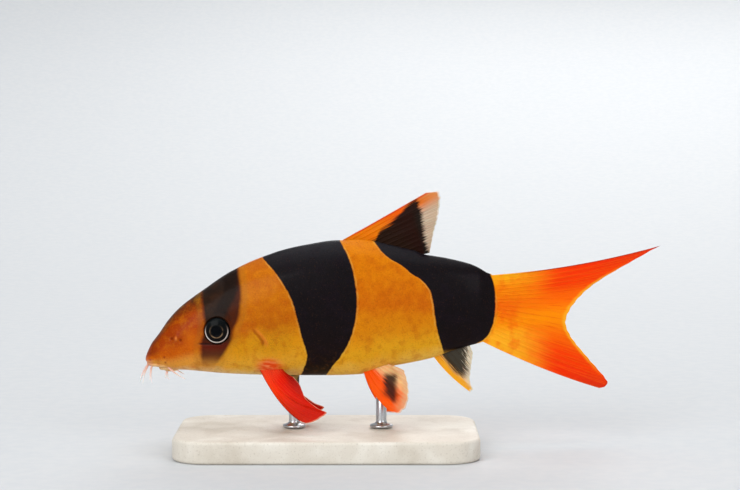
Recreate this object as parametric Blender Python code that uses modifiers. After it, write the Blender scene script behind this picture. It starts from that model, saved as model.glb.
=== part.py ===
"""A clown loach, life size, as a still museum model held over a plain display stand.

The fish's measures are in millimetres: x runs back from the snout tip, y to the fish's right
and z up from the level of its belly. place() turns them into the model's own frame in metres,
whose origin lies under the middle of the stand, on the floor, with the head towards -X.
"""

import math

import bmesh
import bpy
from mathutils import Matrix, Vector

MM = 0.001
GAP = 0.3  # clearance that neighbouring pieces keep
LEFT, RIGHT = -1, 1
SIDE_NAMES = {LEFT: "left", RIGHT: "right"}

# The whole fish
BODY_LENGTH = 82.5  # snout tip to the root of the tail fin
BELLY_LEVEL = 17.3  # belly line above the floor
BALANCE_POINT = 41.0  # the place along the body that stands over the middle of the base
SWAY_START = 50.0  # from here back the body swings a little to the fish's right
SWAY_AT_TAIL = 0.7  # how far it has swung at the root of the tail fin

# Outlines of the body: (x, value), joined by one smooth curve
BACK_LINE = (
    (0.0, 5.4), (2.9, 9.0), (5.2, 12.3), (8.1, 15.4), (13.8, 19.6), (19.6, 23.4), (28.2, 27.2),
    (36.8, 29.4), (44.0, 30.3), (52.0, 29.5), (60.5, 27.5), (68.0, 26.2), (73.0, 25.0),
    (78.0, 22.9), (82.5, 22.3),
)
BELLY_LINE = (
    (0.0, 2.3), (3.0, 2.1), (6.0, 1.2), (10.0, 1.0), (17.0, 0.4), (25.0, 0.0), (48.0, 0.0),
    (54.0, 1.5), (64.0, 3.5), (70.0, 5.5), (75.0, 6.9), (79.0, 7.9), (82.5, 8.2),
)
HALF_WIDTH = (
    (0.0, 2.2), (3.0, 3.6), (8.0, 5.1), (16.0, 6.4), (25.0, 7.1), (33.0, 7.4), (44.0, 7.1),
    (58.0, 5.5), (70.0, 3.7), (78.0, 2.3), (82.5, 1.2),
)
WIDEST_SHARE = ((0.0, 0.38), (16.0, 0.42), (30.0, 0.44), (60.0, 0.50), (82.5, 0.50))
BACK_FULLNESS = ((0.0, 2.2), (16.0, 2.2), (30.0, 2.0), (60.0, 1.9), (82.5, 2.0))
BELLY_FULLNESS = ((0.0, 2.3), (10.0, 2.7), (40.0, 2.5), (60.0, 2.1), (82.5, 2.0))
NOSE_ROUND, NOSE_HEIGHT = 1.8, 3.4  # the rounded front and the height of its foremost point
TAIL_ROUND, TAIL_HEIGHT = 1.1, 15.2  # the rounded end of the flesh inside the tail fin
TAPER_START = 75.0  # from here back the flesh thins into the root of the tail fin
TAPER_SHARE = 0.66  # share of its width that it loses by the end
TAIL_BOW, TAIL_HALF_HEIGHT = 2.2, 7.2  # how far the end's top and bottom lie ahead of its middle
BODY_RINGS, BODY_SIDES = 56, 36
RING_CROWDING = 0.75  # share by which rings draw together at both ends

# The gill line, along which the head meets the trunk: an ellipse seen from the side.
# The rear of each gill cover stands a little proud of the trunk there.
GILL_CENTRE_X, GILL_CENTRE_Z = 12.7, 7.0
GILL_HALF_LENGTH, GILL_HALF_HEIGHT = 13.5, 25.0
COVER_LIFT, COVER_LENGTH = 0.5, 9.0
COVER_MIDDLE_Z, COVER_HALF_HEIGHT = 8.5, 6.5
TAIL_CUT_X = 74.0  # the trunk meets the tail stalk just behind the anal fin

# Eyes
EYE_X, EYE_Z = 16.6, 10.5
EYE_RADIUS, EYE_HALF_DEPTH = 3.15, 1.95
EYE_SINK = 1.05  # centre of the eyeball below the skin
EYE_RIM_THICKNESS = 0.32

# Mouth, nostrils and the sheath of the spine under the eye
LIP_FRONT_X, LIP_CORNER_X, LIP_HALF_WIDTH = 0.9, 5.6, 2.5
LIP_FRONT_Z, LIP_CORNER_Z = 2.2, 1.5
UPPER_LIP_RADIUS, LOWER_LIP_RADIUS = 0.62, 0.55
CHIN_X, CHIN_Z = 5.7, 1.65
CHIN_SIZE = (2.2, 2.3, 1.05)
MOUTH_LINE_THICKNESS = 0.32
NOSTRIL_FRONT_X, NOSTRIL_REAR_X, NOSTRIL_Z = 6.35, 8.35, 8.4
NOSTRIL_RADIUS, NOSTRIL_FLAP_RADIUS, NOSTRIL_FLAP_THICKNESS = 0.45, 0.55, 0.35
SPINE_SHEATH_X, SPINE_SHEATH_Z = 13.4, 7.1
SPINE_SHEATH_SIZE = (2.5, 0.6, 0.25)

# Fins: membranes, rays and how deep a root lies in the flesh before it is trimmed to the skin
MEMBRANE = 0.5
ROOT_DEPTH = 1.6
RAY_FADE = 0.8  # share of a ray's ridge that is lost towards its tip
DORSAL_FRONT, DORSAL_REAR, DORSAL_ROOT_DEPTH = 42.2, 60.3, 1.3
ANAL_FRONT, ANAL_REAR = 64.2, 72.6
STRAIGHT = (0.0, 0.0, 0.0)
PECTORAL_SWING = {LEFT: STRAIGHT, RIGHT: (-1.0, -4.0, -1.5)}  # how far the tips move, x, y and z
PELVIC_SWING = {LEFT: STRAIGHT, RIGHT: (-1.0, -0.6, -1.6)}

# Barbels: root, bend and tip of the left ones; the right ones mirror them and swing forward
BARBEL_ROOT_RADIUS, BARBEL_TIP_RADIUS = 0.36, 0.17
BARBELS = {
    "rostral_inner": ((0.9, 0.5, 2.6), (-0.6, 0.9, 0.3), (-0.5, 1.1, -2.1)),
    "rostral_outer": ((1.6, 1.5, 2.4), (1.0, 2.0, 0.2), (1.7, 2.4, -1.8)),
    "maxillary": ((5.2, 2.3, 1.9), (7.2, 3.6, 0.3), (9.3, 4.2, -0.6)),
    "mandibular": ((5.0, 0.9, 1.4), (4.7, 1.1, -0.3), (5.4, 1.3, -1.1)),
}
BARBEL_SWING = {LEFT: 0.0, RIGHT: -1.0}  # how much further forward the tips of one side reach

# Display stand
BASE_LENGTH, BASE_WIDTH, BASE_HEIGHT = 68.0, 40.0, 5.0
BASE_CORNER, BASE_EDGE = 8.0, 0.8
ROD_RADIUS, ROD_FOOT_RADIUS, ROD_FOOT_HEIGHT = 1.2, 2.6, 1.0
ROD_PLACES = {"front": 33.5, "rear": 53.2}  # back from the snout

COLOURS = {
    "skin_head": (0.52, 0.15, 0.01), "skin_trunk": (0.62, 0.2, 0.01), "skin_tail": (0.8, 0.2, 0.01),
    "eye": (0.01, 0.01, 0.01), "barbel": (0.7, 0.4, 0.33), "red_fin": (0.8, 0.03, 0.005),
    "banded_fin": (0.75, 0.2, 0.02), "tail_fin": (0.95, 0.15, 0.003), "base": (0.62, 0.56, 0.47),
    "steel": (0.55, 0.56, 0.58),
}


def smooth(knots, at):
    """The curve through the knots, a cubic between each two with slopes taken across neighbours."""
    last = len(knots) - 1
    at = min(max(at, knots[0][0]), knots[last][0])
    i = max(j for j in range(last) if knots[j][0] <= at)

    def slope(j):
        before, after = max(j - 1, 0), min(j + 1, last)
        return (knots[after][1] - knots[before][1]) / (knots[after][0] - knots[before][0])

    span = knots[i + 1][0] - knots[i][0]
    t = (at - knots[i][0]) / span
    start, end = knots[i][1], knots[i + 1][1]
    rise = end - start
    curve = start + t * t * (3 - 2 * t) * rise
    bend = t * (1 - t) * ((1 - t) * (slope(i) * span) - t * (slope(i + 1) * span))
    return curve + bend


def along(knots, at):
    """A point on the smooth curve through (share, (x, y, z)) knots."""
    return Vector([smooth([(u, point[axis]) for u, point in knots], at) for axis in range(3)])


def sway(x):
    """How far the middle plane lies to the fish's right at x."""
    past = max(0.0, x - SWAY_START) / (BODY_LENGTH - SWAY_START)
    return SWAY_AT_TAIL * past * past


def place(x, y, z):
    """A point of the fish, in millimetres, in the model's own frame in metres."""
    return Vector((x - BALANCE_POINT, y, z + BELLY_LEVEL)) * MM


def section(x):
    """The body's cross-section at x: top, bottom, half width, widest height and fullness."""
    top = smooth(BACK_LINE, x)
    bottom = smooth(BELLY_LINE, x)
    widest = bottom + smooth(WIDEST_SHARE, x) * (top - bottom)
    return top, bottom, smooth(HALF_WIDTH, x), widest, smooth(BACK_FULLNESS, x), smooth(BELLY_FULLNESS, x)


def bluntness(x):
    """Share to which the section shrinks at the rounded ends, and the height it shrinks to."""
    if x < NOSE_ROUND:
        return math.sqrt(max(0.0, 1 - (1 - x / NOSE_ROUND) ** 2)), NOSE_HEIGHT
    left = BODY_LENGTH - x
    if left < TAIL_ROUND:
        return math.sqrt(max(0.0, 1 - (1 - left / TAIL_ROUND) ** 2)), TAIL_HEIGHT
    return 1.0, TAIL_HEIGHT


def flesh_point(share, angle):
    """A point of the skin: share of the way along the body, and angle round it."""
    crowding = RING_CROWDING * math.sin(2 * math.pi * share) / (2 * math.pi)
    x = BODY_LENGTH * (share - crowding)
    top, bottom, half_width, widest, back_power, belly_power = section(x)
    c, s = math.cos(angle), math.sin(angle)
    power = back_power if s > 0 else belly_power
    reach = top - widest if s > 0 else widest - bottom
    share_left, end_height = bluntness(x)
    y = half_width * math.copysign(abs(c) ** (2 / power), c) * share_left
    z = widest + reach * math.copysign(abs(s) ** (2 / power), s)
    z = end_height + (z - end_height) * share_left
    past = max(0.0, x - TAPER_START) / (BODY_LENGTH - TAPER_START)
    late = past * past * (3 - 2 * past)
    level = (z - TAIL_HEIGHT) / TAIL_HALF_HEIGHT
    x -= TAIL_BOW * late * level * level
    return x, sway(x) + y * (1 - TAPER_SHARE * late), z


def cover_lift(x, z):
    """How far the gill cover stands proud: it swells backwards, to its edge on the gill line."""
    level = (z - COVER_MIDDLE_Z) / COVER_HALF_HEIGHT
    forward = (gill_line(z) - x) / COVER_LENGTH
    if abs(level) > 1 or forward > 1:
        return 0.0
    return COVER_LIFT * (1 - level * level) ** 2 * (1 - max(0.0, forward)) ** 2


def gill_line(z):
    """Where the gill line crosses the height z."""
    level = min(1.0, abs(z - GILL_CENTRE_Z) / GILL_HALF_HEIGHT)
    return GILL_CENTRE_X + GILL_HALF_LENGTH * math.sqrt(1 - level * level)


def skin_y(x, z):
    """Distance of the skin from the middle plane at x and z."""
    top, bottom, half_width, widest, back_power, belly_power = section(x)
    power = back_power if z > widest else belly_power
    reach = (z - widest) / (top - widest) if z > widest else (widest - z) / (widest - bottom)
    return half_width * max(0.0, 1 - reach**power) ** (1 / power)


def skin_turn(x, z, side):
    """The turn about Z that lays a piece on the skin at x and z."""
    return side * math.atan(skin_y(x + 0.5, z) - skin_y(x - 0.5, z))


def material(name, colour, roughness, metallic=0.0):
    made = bpy.data.materials.new(name)
    made.diffuse_color = (*colour, 1)
    made.use_nodes = True
    shader = made.node_tree.nodes["Principled BSDF"]
    shader.inputs["Base Color"].default_value = (*colour, 1)
    shader.inputs["Roughness"].default_value = roughness
    shader.inputs["Metallic"].default_value = metallic
    return made


def collection(name, hidden=False):
    made = bpy.data.collections.new(name)
    made.hide_render = hidden
    bpy.context.scene.collection.children.link(made)
    return made


def object_from(mesh, name, group):
    """The bmesh as a named, smooth-shaded object in a collection."""
    bmesh.ops.recalc_face_normals(mesh, faces=mesh.faces)
    data = bpy.data.meshes.new(name)
    mesh.to_mesh(data)
    mesh.free()
    data.shade_smooth()
    made = bpy.data.objects.new(name, data)
    group.objects.link(made)
    if group.hide_render:
        made.hide_render = True
        made.display_type = "WIRE"
    return made


def whole_body(name, group, grow=0.0, covers=False):
    """The flesh from snout to tail root: a sphere whose rings take the body's sections.

    grow moves the whole skin outwards, and covers raises the gill covers.
    """
    mesh = bmesh.new()
    bmesh.ops.create_uvsphere(mesh, u_segments=BODY_SIDES, v_segments=BODY_RINGS, radius=1)
    lifts = {}
    for vertex in mesh.verts:
        share = math.acos(max(-1.0, min(1.0, vertex.co.z))) / math.pi
        x, y, z = flesh_point(share, math.atan2(vertex.co.y, vertex.co.x))
        lifts[vertex] = grow + (cover_lift(x, z) if covers else 0.0)
        vertex.co = place(x, y, z)
    bmesh.ops.recalc_face_normals(mesh, faces=mesh.faces)
    mesh.normal_update()
    normals = {vertex: vertex.normal.copy() for vertex in mesh.verts}
    for vertex, normal in normals.items():
        vertex.co += normal * lifts[vertex] * MM
    return object_from(mesh, name, group)


def ellipsoid(name, group, centre, sizes, turn=0.0, sides=20, rings=12):
    """An ellipsoid with its half sizes in millimetres, turned about Z."""
    mesh = bmesh.new()
    bmesh.ops.create_uvsphere(mesh, u_segments=sides, v_segments=rings, radius=1)
    shape = Matrix.Translation(place(*centre)) @ Matrix.Rotation(turn, 4, "Z")
    scale = Matrix.Diagonal((*(size * MM for size in sizes), 1))
    bmesh.ops.transform(mesh, matrix=shape @ scale, verts=mesh.verts)
    return object_from(mesh, name, group)


def on_skin(name, group, side, x, z, sizes, sink=0.0, **shape):
    """An ellipsoid laid on the skin at one side, its centre sunk below the surface."""
    centre = (x, side * (skin_y(x, z) - sink), z)
    return ellipsoid(name, group, centre, sizes, skin_turn(x, z, side), **shape)


def tube(name, group, points, radii, sides_from=1):
    """A closed round tube along the points, made a mesh."""
    curve = bpy.data.curves.new(name, "CURVE")
    curve.dimensions = "3D"
    curve.bevel_depth = MM
    curve.bevel_resolution = sides_from
    curve.use_fill_caps = True
    spline = curve.splines.new("POLY")
    spline.points.add(len(points) - 1)
    for target, point, radius in zip(spline.points, points, radii):
        target.co = (*place(*point), 1)
        target.radius = radius
    guide = bpy.data.objects.new(name + "_guide", curve)
    bpy.context.scene.collection.objects.link(guide)
    bpy.context.view_layer.update()
    seen = guide.evaluated_get(bpy.context.evaluated_depsgraph_get())
    mesh = bmesh.new()
    data = bpy.data.meshes.new_from_object(seen)
    mesh.from_mesh(data)
    bmesh.ops.remove_doubles(mesh, verts=mesh.verts, dist=0.01 * MM)
    bpy.data.objects.remove(guide)
    bpy.data.curves.remove(curve)
    bpy.data.meshes.remove(data)
    return object_from(mesh, name, group)


def bent(points, steps):
    """Points on the curve that starts at the first point, bends at the second and ends at the third."""
    start, bend, end = (Vector(point) for point in points)
    shares = [step / steps for step in range(steps + 1)]
    return [start * (1 - t) ** 2 + bend * 2 * t * (1 - t) + end * t * t for t in shares]


def applied(target):
    """Bakes the object's modifiers into its mesh, and keeps only its largest closed surface."""
    bpy.context.view_layer.update()
    seen = target.evaluated_get(bpy.context.evaluated_depsgraph_get())
    baked = bpy.data.meshes.new_from_object(seen)
    target.modifiers.clear()
    mesh = bmesh.new()
    mesh.from_mesh(baked)
    left, largest = set(mesh.verts), set()
    while left:
        island, edge = set(), {next(iter(left))}
        while edge:
            island |= edge
            edge = {e.other_vert(v) for v in edge for e in v.link_edges} - island
        left -= island
        largest = max(largest, island, key=len)
    bmesh.ops.delete(mesh, geom=[v for v in mesh.verts if v not in largest], context="VERTS")
    mesh.to_mesh(baked)
    mesh.free()
    target.data = baked
    return target


def boolean(target, operation, other, solver="EXACT"):
    """Adds a Boolean with another object, or with a whole collection of closed meshes."""
    modifier = target.modifiers.new(operation.lower(), "BOOLEAN")
    modifier.operation = operation
    modifier.solver = solver
    if isinstance(other, bpy.types.Collection):
        modifier.operand_type = "COLLECTION"
        modifier.collection = other
    else:
        modifier.object = other
    return modifier


def fused(target, pieces):
    """Joins the closed pieces to the target with one union, and removes them."""
    boolean(target, "UNION", pieces)
    applied(target)
    for piece in list(pieces.objects):
        bpy.data.objects.remove(piece)
    bpy.data.collections.remove(pieces)
    return target


def gill_cylinder(name, group, grow):
    """The upright-sided solid whose edge, seen from the side, is the gill line."""
    mesh = bmesh.new()
    bmesh.ops.create_cone(mesh, cap_ends=True, segments=64, radius1=1, radius2=1, depth=2)
    sizes = (GILL_HALF_LENGTH + grow, 20.0, GILL_HALF_HEIGHT + grow)
    turned = Matrix.Translation(place(GILL_CENTRE_X, 0, GILL_CENTRE_Z))
    turned = turned @ Matrix.Diagonal((*(size * MM for size in sizes), 1))
    bmesh.ops.transform(mesh, matrix=turned @ Matrix.Rotation(math.pi / 2, 4, "X"), verts=mesh.verts)
    return object_from(mesh, name, group)


def slab(name, group, low, high):
    """A plain box between two corners of the fish's frame."""
    mesh = bmesh.new()
    bmesh.ops.create_cube(mesh, size=1)
    low, high = place(*low), place(*high)
    shape = Matrix.Translation((low + high) / 2) @ Matrix.Diagonal((*(high - low), 1))
    bmesh.ops.transform(mesh, matrix=shape, verts=mesh.verts)
    return object_from(mesh, name, group)


def lip_arch(front_x, corner_x, half_width, front_z, corner_z, steps=12):
    """Points round the front of the mouth, from one corner to the other."""
    points = []
    for step in range(steps + 1):
        angle = math.pi * step / steps
        forward = math.sin(angle)
        x = corner_x + (front_x - corner_x) * forward
        points.append((x, half_width * math.cos(angle), corner_z + (front_z - corner_z) * forward))
    return points


def mouth_pieces(group, grow):
    """The fleshy upper lip, the lower lip and the chin."""
    upper = lip_arch(LIP_FRONT_X, LIP_CORNER_X, LIP_HALF_WIDTH, LIP_FRONT_Z + 0.35, LIP_CORNER_Z + 0.6)
    lower = lip_arch(LIP_FRONT_X + 2.6, LIP_CORNER_X, LIP_HALF_WIDTH - 0.5, LIP_CORNER_Z, LIP_CORNER_Z)
    tube("upper_lip", group, upper, [UPPER_LIP_RADIUS + grow] * len(upper))
    tube("lower_lip", group, lower, [LOWER_LIP_RADIUS + grow] * len(lower))
    sizes = [size + grow for size in CHIN_SIZE]
    ellipsoid("chin", group, (CHIN_X, 0, CHIN_Z), sizes)


def eye_rim(name, group, side):
    """The low fold of skin round one eye."""
    mesh = bmesh.new()
    radius = EYE_RADIUS + 0.1
    offset = Matrix.Translation((radius * MM, 0, 0)) @ Matrix.Rotation(math.pi / 2, 4, "X")
    ring = bmesh.ops.create_circle(mesh, segments=8, radius=EYE_RIM_THICKNESS * MM, matrix=offset)
    edges = list({edge for vertex in ring["verts"] for edge in vertex.link_edges})
    bmesh.ops.spin(
        mesh, geom=edges + ring["verts"], cent=(0, 0, 0), axis=(0, 0, 1), angle=2 * math.pi,
        steps=28, use_merge=True,
    )
    skin = skin_y(EYE_X, EYE_Z)
    shape = Matrix.Translation(place(EYE_X, side * (skin - 0.1), EYE_Z))
    shape = shape @ Matrix.Rotation(skin_turn(EYE_X, EYE_Z, side), 4, "Z")
    bmesh.ops.transform(mesh, matrix=shape @ Matrix.Rotation(math.pi / 2, 4, "X"), verts=mesh.verts)
    return object_from(mesh, name, group)


def eyeball(name, group, side, grow=0.0):
    """An eye, flattened like a fish's and laid into the skin of the cheek."""
    sizes = (EYE_RADIUS + grow, EYE_HALF_DEPTH + grow, EYE_RADIUS + grow)
    return on_skin(name, group, side, EYE_X, EYE_Z, sizes, EYE_SINK, sides=20, rings=12)


def head_raised_pieces():
    """What stands proud of the head: lips, chin, eye rims and nostril flaps."""
    pieces = collection("head_pieces")
    mouth_pieces(pieces, 0.0)
    flap_x = (NOSTRIL_FRONT_X + NOSTRIL_REAR_X) / 2
    flap = (NOSTRIL_FLAP_THICKNESS, NOSTRIL_FLAP_RADIUS, NOSTRIL_FLAP_RADIUS)
    for side, word in SIDE_NAMES.items():
        eye_rim(f"eye_rim_{word}", pieces, side)
        on_skin(f"nostril_flap_{word}", pieces, side, flap_x, NOSTRIL_Z, flap, sides=10, rings=8)
    return pieces


def head_hollows(cutters):
    """What is sunk into the head: mouth line, nostrils, eye sockets and spine sheaths."""
    hollows = bpy.data.collections.new("head_hollows")
    hollows.hide_render = True
    cutters.children.link(hollows)
    line = (LIP_CORNER_X - LIP_FRONT_X + 0.9, LIP_HALF_WIDTH + 0.9, MOUTH_LINE_THICKNESS / 2)
    mouth = ellipsoid("mouth_line", hollows, (LIP_CORNER_X, 0, LIP_CORNER_Z + 0.25), line, sides=28)
    tilt = Matrix.Rotation(math.radians(4), 4, "Y")
    centre = place(LIP_CORNER_X, 0, LIP_CORNER_Z + 0.25)
    mouth.data.transform(Matrix.Translation(centre) @ tilt @ Matrix.Translation(-centre))
    pit = (NOSTRIL_RADIUS,) * 3
    for side in (LEFT, RIGHT):
        word = SIDE_NAMES[side]
        eyeball(f"socket_{word}", hollows, side, GAP)
        on_skin(f"nostril_front_{word}", hollows, side, NOSTRIL_FRONT_X, NOSTRIL_Z, pit, sides=8, rings=6)
        on_skin(f"nostril_rear_{word}", hollows, side, NOSTRIL_REAR_X, NOSTRIL_Z, pit, sides=8, rings=6)
        on_skin(
            f"sheath_{word}", hollows, side, SPINE_SHEATH_X, SPINE_SHEATH_Z, SPINE_SHEATH_SIZE,
            sides=16, rings=8,
        )
    return hollows


def head(fish, cutters, finish):
    """Snout to gill line."""
    made = fused(whole_body("head", fish, covers=True), head_raised_pieces())
    boolean(made, "DIFFERENCE", head_hollows(cutters))
    boolean(made, "INTERSECT", gill_cylinder("gill_line_front", cutters, -GAP / 2))
    made.data.materials.append(finish)
    return applied(made)


def trunk(fish, cutters, finish):
    """Gill line to the start of the tail stalk."""
    made = whole_body("trunk", fish)
    boolean(made, "DIFFERENCE", gill_cylinder("gill_line_rear", cutters, GAP / 2))
    behind = slab("behind_trunk", cutters, (TAIL_CUT_X - GAP / 2, -20, -20), (120, 20, 60))
    boolean(made, "DIFFERENCE", behind)
    made.data.materials.append(finish)
    return made


def tail_stalk(fish, cutters, finish):
    """The narrow stalk that carries the tail fin."""
    made = whole_body("tail_stalk", fish)
    before = slab("before_stalk", cutters, (-20, -20, -20), (TAIL_CUT_X + GAP / 2, 20, 60))
    boolean(made, "DIFFERENCE", before)
    made.data.materials.append(finish)
    return made


def fin(name, fish, skin_cutter, finish, rays, rows, shape, ray_thickness):
    """A fin: a triangulated sheet given thickness, thicker along each ray, trimmed to the skin.

    shape(u, v) is its middle surface: u runs across the rays, v from the root to the ray tips.
    """
    mesh = bmesh.new()
    columns = 2 * (rays - 1)
    bmesh.ops.create_grid(mesh, x_segments=columns, y_segments=rows, size=1)
    bmesh.ops.triangulate(mesh, faces=mesh.faces, quad_method="ALTERNATE")
    ridges = mesh.verts.layers.float.new("ridge")
    for vertex in mesh.verts:
        u, v = (vertex.co.x + 1) / 2, (vertex.co.y + 1) / 2
        on_ray = round(u * columns) % 2 == 0
        vertex[ridges] = 1 - RAY_FADE * v if on_ray else 0.0
        vertex.co = place(*shape(u, v))
    made = object_from(mesh, name, fish)
    group = made.vertex_groups.new(name="ridge")
    for index, value in enumerate(made.data.attributes["ridge"].data):
        group.add([index], value.value, "REPLACE")
    thick = made.modifiers.new("thickness", "SOLIDIFY")
    thick.thickness = ray_thickness * MM
    thick.offset = 0
    thick.vertex_group = "ridge"
    thick.thickness_vertex_group = MEMBRANE / ray_thickness
    boolean(made, "DIFFERENCE", skin_cutter, "MANIFOLD")
    made.data.materials.append(finish)
    return made


def fan(root, tips, bow, side=RIGHT, swing=STRAIGHT):
    """The middle surface of a fin whose rays run from a root line to the line of their tips.

    root, tips and bow are knots across the rays; bow is how far a ray's middle leaves the straight.
    The swing turns the whole fin about its root, by so much at the tips.
    """

    def surface(u, v):
        start, end, lift = along(root, u), along(tips, u), along(bow, u)
        point = start.lerp(end, v) + lift * 4 * v * (1 - v) + Vector(swing) * v
        return point.x, side * point.y, point.z

    return surface


def root_on_outline(front, rear, outline, depth):
    """Root knots that follow the body's outline between two places, a depth inside it."""
    places = [front + (rear - front) * step / 4 for step in range(5)]
    return [(step / 4, (x, sway(x), smooth(outline, x) - depth)) for step, x in enumerate(places)]


def root_on_side(*knots):
    """Root knots of a paired fin at the given (share, x, z), a depth inside the skin."""
    return [(u, (x, max(0.5, skin_y(x, z) - ROOT_DEPTH), z + ROOT_DEPTH / 3)) for u, x, z in knots]


def dorsal_surface():
    """The tall fin on the back, its rays swept well back."""
    root = root_on_outline(DORSAL_FRONT, DORSAL_REAR, BACK_LINE, DORSAL_ROOT_DEPTH)
    tips = (
        (0.0, (63.0, 0.9, 40.9)), (0.08, (65.1, 1.0, 41.2)), (0.17, (66.2, 1.0, 39.9)),
        (0.35, (66.1, 0.9, 36.6)), (0.7, (65.0, 0.6, 31.9)), (1.0, (64.1, 0.4, 27.4)),
    )
    bow = ((0.0, (0.0, 0.4, 0.0)), (0.5, (0.0, -0.5, 0.2)), (1.0, (0.0, 0.0, 0.1)))
    return fan(root, tips, bow)


def tail_surface():
    """The forked tail fin: a long pointed upper lobe and a shorter lower one turned aside."""
    root = (
        (0.0, (77.4, 0.6, 22.0)), (0.12, (78.8, 0.6, 19.9)), (0.5, (79.4, 0.6, 15.0)),
        (0.88, (78.2, 0.6, 10.2)), (1.0, (75.2, 0.4, 8.6)),
    )
    tips = (
        (0.0, (115.8, -1.2, 29.1)), (0.06, (112.0, -0.9, 27.0)), (0.22, (102.6, 0.6, 21.3)),
        (0.36, (97.6, 1.0, 16.9)), (0.5, (95.0, 1.2, 12.4)), (0.62, (96.0, 1.6, 8.6)),
        (0.78, (100.2, 3.2, 3.3)), (0.93, (104.8, 5.0, -2.3)), (1.0, (103.0, 5.4, -3.9)),
    )
    bow = ((0.0, (0.0, 0.3, -1.1)), (0.5, (0.0, 0.4, 0.0)), (1.0, (0.0, -0.6, -0.7)))
    return fan(root, tips, bow)


def anal_surface():
    """The small fin behind the vent, its rays swept back and down."""
    root = root_on_outline(ANAL_FRONT, ANAL_REAR, BELLY_LINE, -ROOT_DEPTH)
    tips = (
        (0.0, (73.3, 0.1, -4.1)), (0.12, (73.9, 0.1, -3.7)), (0.3, (73.3, 0.0, -1.5)),
        (0.6, (73.5, 0.0, 1.5)), (1.0, (73.9, 0.2, 4.7)),
    )
    bow = ((0.0, (-0.5, 0.3, -0.4)), (0.5, (0.0, -0.3, -0.1)), (1.0, (0.0, 0.0, 0.0)))
    return fan(root, tips, bow)


def pectoral_surface(side):
    """The fin behind each gill cover, spread outwards and drooping to the ground."""
    root = root_on_side((0.0, 25.2, 2.4), (0.5, 27.6, 2.3), (1.0, 30.2, 2.0))
    tips = (
        (0.0, (35.3, 10.9, -9.1)), (0.12, (37.2, 11.2, -9.4)), (0.26, (39.8, 11.2, -8.3)),
        (0.37, (41.1, 11.0, -7.2)), (0.55, (38.1, 10.3, -5.6)), (0.7, (36.2, 9.7, -3.9)),
        (0.85, (35.2, 8.9, -1.7)), (1.0, (33.6, 8.0, 0.4)),
    )
    bow = (
        (0.0, (0.0, 0.5, -1.8)), (0.4, (-1.4, 1.2, -1.8)), (0.7, (0.0, 1.2, -0.8)),
        (1.0, (0.3, 0.6, -0.6)),
    )
    return fan(root, tips, bow, side, PECTORAL_SWING[side])


def pelvic_surface(side):
    """The paired fins under the belly."""
    root = root_on_side((0.0, 48.9, 1.3), (0.5, 50.8, 1.6), (1.0, 53.0, 2.2))
    tips = (
        (0.0, (55.5, 5.9, -7.9)), (0.14, (57.2, 6.0, -8.0)), (0.3, (58.7, 5.9, -6.8)),
        (0.5, (59.3, 5.6, -4.2)), (0.75, (59.1, 5.0, -1.3)), (1.0, (58.3, 4.0, 1.3)),
    )
    bow = ((0.0, (-0.8, 0.4, -0.7)), (0.5, (0.2, 0.5, 0.1)), (1.0, (0.3, 0.3, 0.2)))
    return fan(root, tips, bow, side, PELVIC_SWING[side])


def fins(fish, skin_cutter, banded, red, tail):
    """All seven fins."""
    fin("dorsal_fin", fish, skin_cutter, banded, 11, 7, dorsal_surface(), 0.95)
    fin("tail_fin", fish, skin_cutter, tail, 18, 9, tail_surface(), 0.95)
    fin("anal_fin", fish, skin_cutter, banded, 8, 6, anal_surface(), 0.9)
    for side, word in SIDE_NAMES.items():
        fin(f"pectoral_fin_{word}", fish, skin_cutter, red, 12, 8, pectoral_surface(side), 0.9)
        fin(f"pelvic_fin_{word}", fish, skin_cutter, banded, 8, 7, pelvic_surface(side), 0.85)


def barbels(fish, snout_cutter, finish):
    """Four pairs of feelers round the mouth, each trimmed where it leaves the lips."""
    steps = 7
    for kind, points in BARBELS.items():
        for side, word in SIDE_NAMES.items():
            root, bend, tip = (Vector((x, side * y, z)) for x, y, z in points)
            bend.x += BARBEL_SWING[side] / 2
            tip.x += BARBEL_SWING[side]
            route = bent((root, bend, tip), steps)
            taper = BARBEL_TIP_RADIUS - BARBEL_ROOT_RADIUS
            radii = [BARBEL_ROOT_RADIUS + taper * step / steps for step in range(steps + 1)]
            made = tube(f"barbel_{kind}_{word}", fish, route, radii)
            boolean(made, "DIFFERENCE", snout_cutter, "MANIFOLD")
            made.data.materials.append(finish)


def eyes(fish, finish):
    """Both eyeballs."""
    for side, word in SIDE_NAMES.items():
        eyeball(f"eye_{word}", fish, side).data.materials.append(finish)


def stand_base(group, finish):
    """The flat plate, with rounded corners and a softened top edge."""
    mesh = bmesh.new()
    bmesh.ops.create_cube(mesh, size=1)
    size = Matrix.Diagonal((BASE_LENGTH * MM, BASE_WIDTH * MM, BASE_HEIGHT * MM, 1))
    up = Matrix.Translation((0, 0, BASE_HEIGHT * MM / 2))
    bmesh.ops.transform(mesh, matrix=up @ size, verts=mesh.verts)
    upright = [e for e in mesh.edges if abs(e.verts[0].co.z - e.verts[1].co.z) > BASE_HEIGHT * MM / 2]
    bmesh.ops.bevel(mesh, geom=upright, offset=BASE_CORNER * MM, affect="EDGES", segments=8, profile=0.5, material=-1)
    top = [e for e in mesh.edges if min(v.co.z for v in e.verts) > (BASE_HEIGHT - 0.01) * MM]
    bmesh.ops.bevel(mesh, geom=top, offset=BASE_EDGE * MM, affect="EDGES", segments=2, profile=0.5, material=-1)
    made = object_from(mesh, "stand_base", group)
    made.data.set_sharp_from_angle(angle=math.radians(30))
    made.data.materials.append(finish)
    return made


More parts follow.
